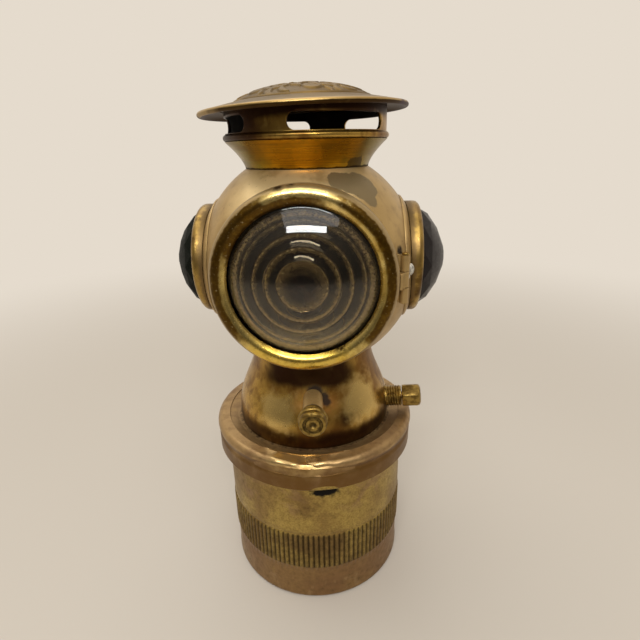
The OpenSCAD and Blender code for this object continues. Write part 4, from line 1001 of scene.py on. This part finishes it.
capProfile = [(cap["domeR"] * t, domeZ(t) + cap["wall"]) for t in [sin(pi / 2 * i / 120) for i in range(121)]]
capProfile += rows(cap["domeR"] + 0.6, brimZ(cap["domeR"] + 0.6) + cap["wall"], rollR - 0.3,
                   brimZ(rollR - 0.3) + cap["wall"], 10)
capProfile += arc(rollR, brimZ(rollR) + cap["wall"] - cap["roll"], cap["roll"], 80, -150, 14)
seatOut, seatIn = ch["ventR"] + cap["shift"], ch["ventR"] - ch["wall"] - cap["shift"]
capProfile += [(rollR - 1.2, brimZ(rollR - 1.2)), (seatOut, brimZ(seatOut)), (seatOut, lamp["capSeatZ"]),
               (seatIn, lamp["capSeatZ"]), (seatIn, brimZ(seatIn))]
capProfile += [((cap["domeR"] - cap["wall"]) * t, domeZ(t)) for t in [sin(pi / 2 * i / 24) for i in range(24, -1, -1)]]
capMesh = spun(capProfile, 480)

# a common foliate scroll pressed into the dome: every sector repeats one scroll with its leaves
scroll = {"sectors": 6, "reach": 18.2, "scale": 1.1, "width": 1.0}


def curl(cx, cy, r0, r1, start, turns, steps=70):
    # a spiral that winds in towards its eye
    spots = []
    for i in range(steps + 1):
        t = i / steps
        a = radians(start) + 2 * pi * turns * t
        r = r0 + (r1 - r0) * t
        spots.append((cx + r * cos(a), cy + r * sin(a), scroll["width"] * (1 - 0.45 * t)))
    spots.append((spots[-1][0], spots[-1][1], scroll["width"] * 1.05))
    return spots


def leaf(x0, y0, x1, y1, sway, width, steps=36):
    # a drop-shaped leaf, curved to one side, narrow at both ends
    dx, dy = x1 - x0, y1 - y0
    return [(x0 + dx * t - dy * sway * sin(pi * t), y0 + dy * t + dx * sway * sin(pi * t),
             width * (0.25 + 0.75 * sin(pi * t ** 0.8))) for t in [i / steps for i in range(steps + 1)]]


motif = curl(10.6, 1.2, 3.3, 0.7, 200, 1.35) + curl(12.2, -3.6, 1.7, 0.4, 60, -1.1)
for blade in ((7.4, 0.6, 3.6, -1.4, 0.25, 0.9), (13.6, 1.6, 16.2, 3.6, -0.3, 1), (12.6, 3.6, 14.4, 6.6, -0.2, 1),
              (10.4, 4.3, 10.6, 7, 0.25, 0.9), (14.2, -1.2, 16.6, -0.6, 0.2, 0.8), (8, -2.2, 10.6, -5.4, -0.25, 0.8),
              (2.4, 0.5, 5.6, 1.6, -0.3, 0.8)):
    motif += leaf(*blade)
strokes = []
for k in range(scroll["sectors"]):
    turn = 2 * pi * k / scroll["sectors"]
    strokes += [tuple(scroll["scale"] * c for c in (x * cos(turn) - y * sin(turn), x * sin(turn) + y * cos(turn), w))
                for x, y, w in motif]
tree = kdtree.KDTree(len(strokes))
for i, (x, y, w) in enumerate(strokes):
    tree.insert((x, y, 0), i)
tree.balance()


def raised(x, y):
    # 1 on the back of a scroll or leaf, 0 on the ground between them
    best = 0
    for place, i, away in tree.find_range((x, y, 0), 1.4):
        w = strokes[i][2]
        if away < w:
            best = max(best, min(1, 1.5 * (1 - (away / w) ** 2)))
    return best


carving = capMesh.verts.layers.float.new("grime")
for v in capMesh.verts:
    x, y, z, r = spot(v)
    if r < scroll["reach"] and z > domeZ(r / cap["domeR"]) + cap["wall"] - 0.1:
        low = (1 - raised(x, y)) * min(1, (scroll["reach"] - r) / 0.5)
        v.co.z -= low * cap["carved"] * mm
        v[carving] = low
# painted shade under the brim
mark(capMesh, lambda x, y, z, r: smooth(21.5, 23, r) * smooth(0.55, 0.3, z - brimZ(r)), "wear")
# painted highlight along the brim's roll
mark(capMesh, lambda x, y, z, r: smooth(rollR - 0.7, rollR - 0.2, r) * smooth(0, 0.4, z - brimZ(rollR)), "rub")
finishPiece("chimneyCap", capMesh, capBrass, "lamp", "tarnished_brass", "cap", capPlace)
print("chimney made")


# Inside and bracket: smooth copies of the CAD nodes

for name, node, finish, body, slot, *edge in (
        ("reflectorDish", "reflector", dullNickel, "lamp", "nickel_plate"),
        ("reflectorPost", "reflector_post", sootedBrass, "lamp", "aged_brass"),
        ("burnerHolder", "burner_holder", sootedBrass, "lamp", "bright_brass"),
        ("burnerTip", "burner_tip", steatite, "lamp", "steatite"),
        ("tankTop", "tank_top", sootedBrass, "lamp", "aged_brass"),
        ("gasTube", "gas_tube", sootedBrass, "lamp", "aged_brass"),
        ("dripTube", "drip_tube", goldenBrass, "lamp", "aged_brass"),
        ("filterPan", "filter_pan", goldenBrass, "lamp", "aged_brass"),
        ("filterFelt", "filter_felt", felt, "lamp", "wool_felt"),
        ("bracketSaddle", "bracket_saddle", brownBrass, "lamp", "aged_brass", 0.25),
        ("bracketSocket", "bracket_socket", goldenBrass, "lamp", "aged_brass", 0.3),
        ("bracketRivets", "bracket_rivets", brownBrass, "lamp", "bright_brass", 0.1),
        ("clampScrew", "clamp_screw", brownBrass, "clamp", "tarnished_brass", 0.15),
        ("clampHead", "clamp_head", polishedBrass, "clamp_head", "bright_brass", 0.12)):
    refined(name, node, finish, body, slot, *edge)
print("inside and bracket made")
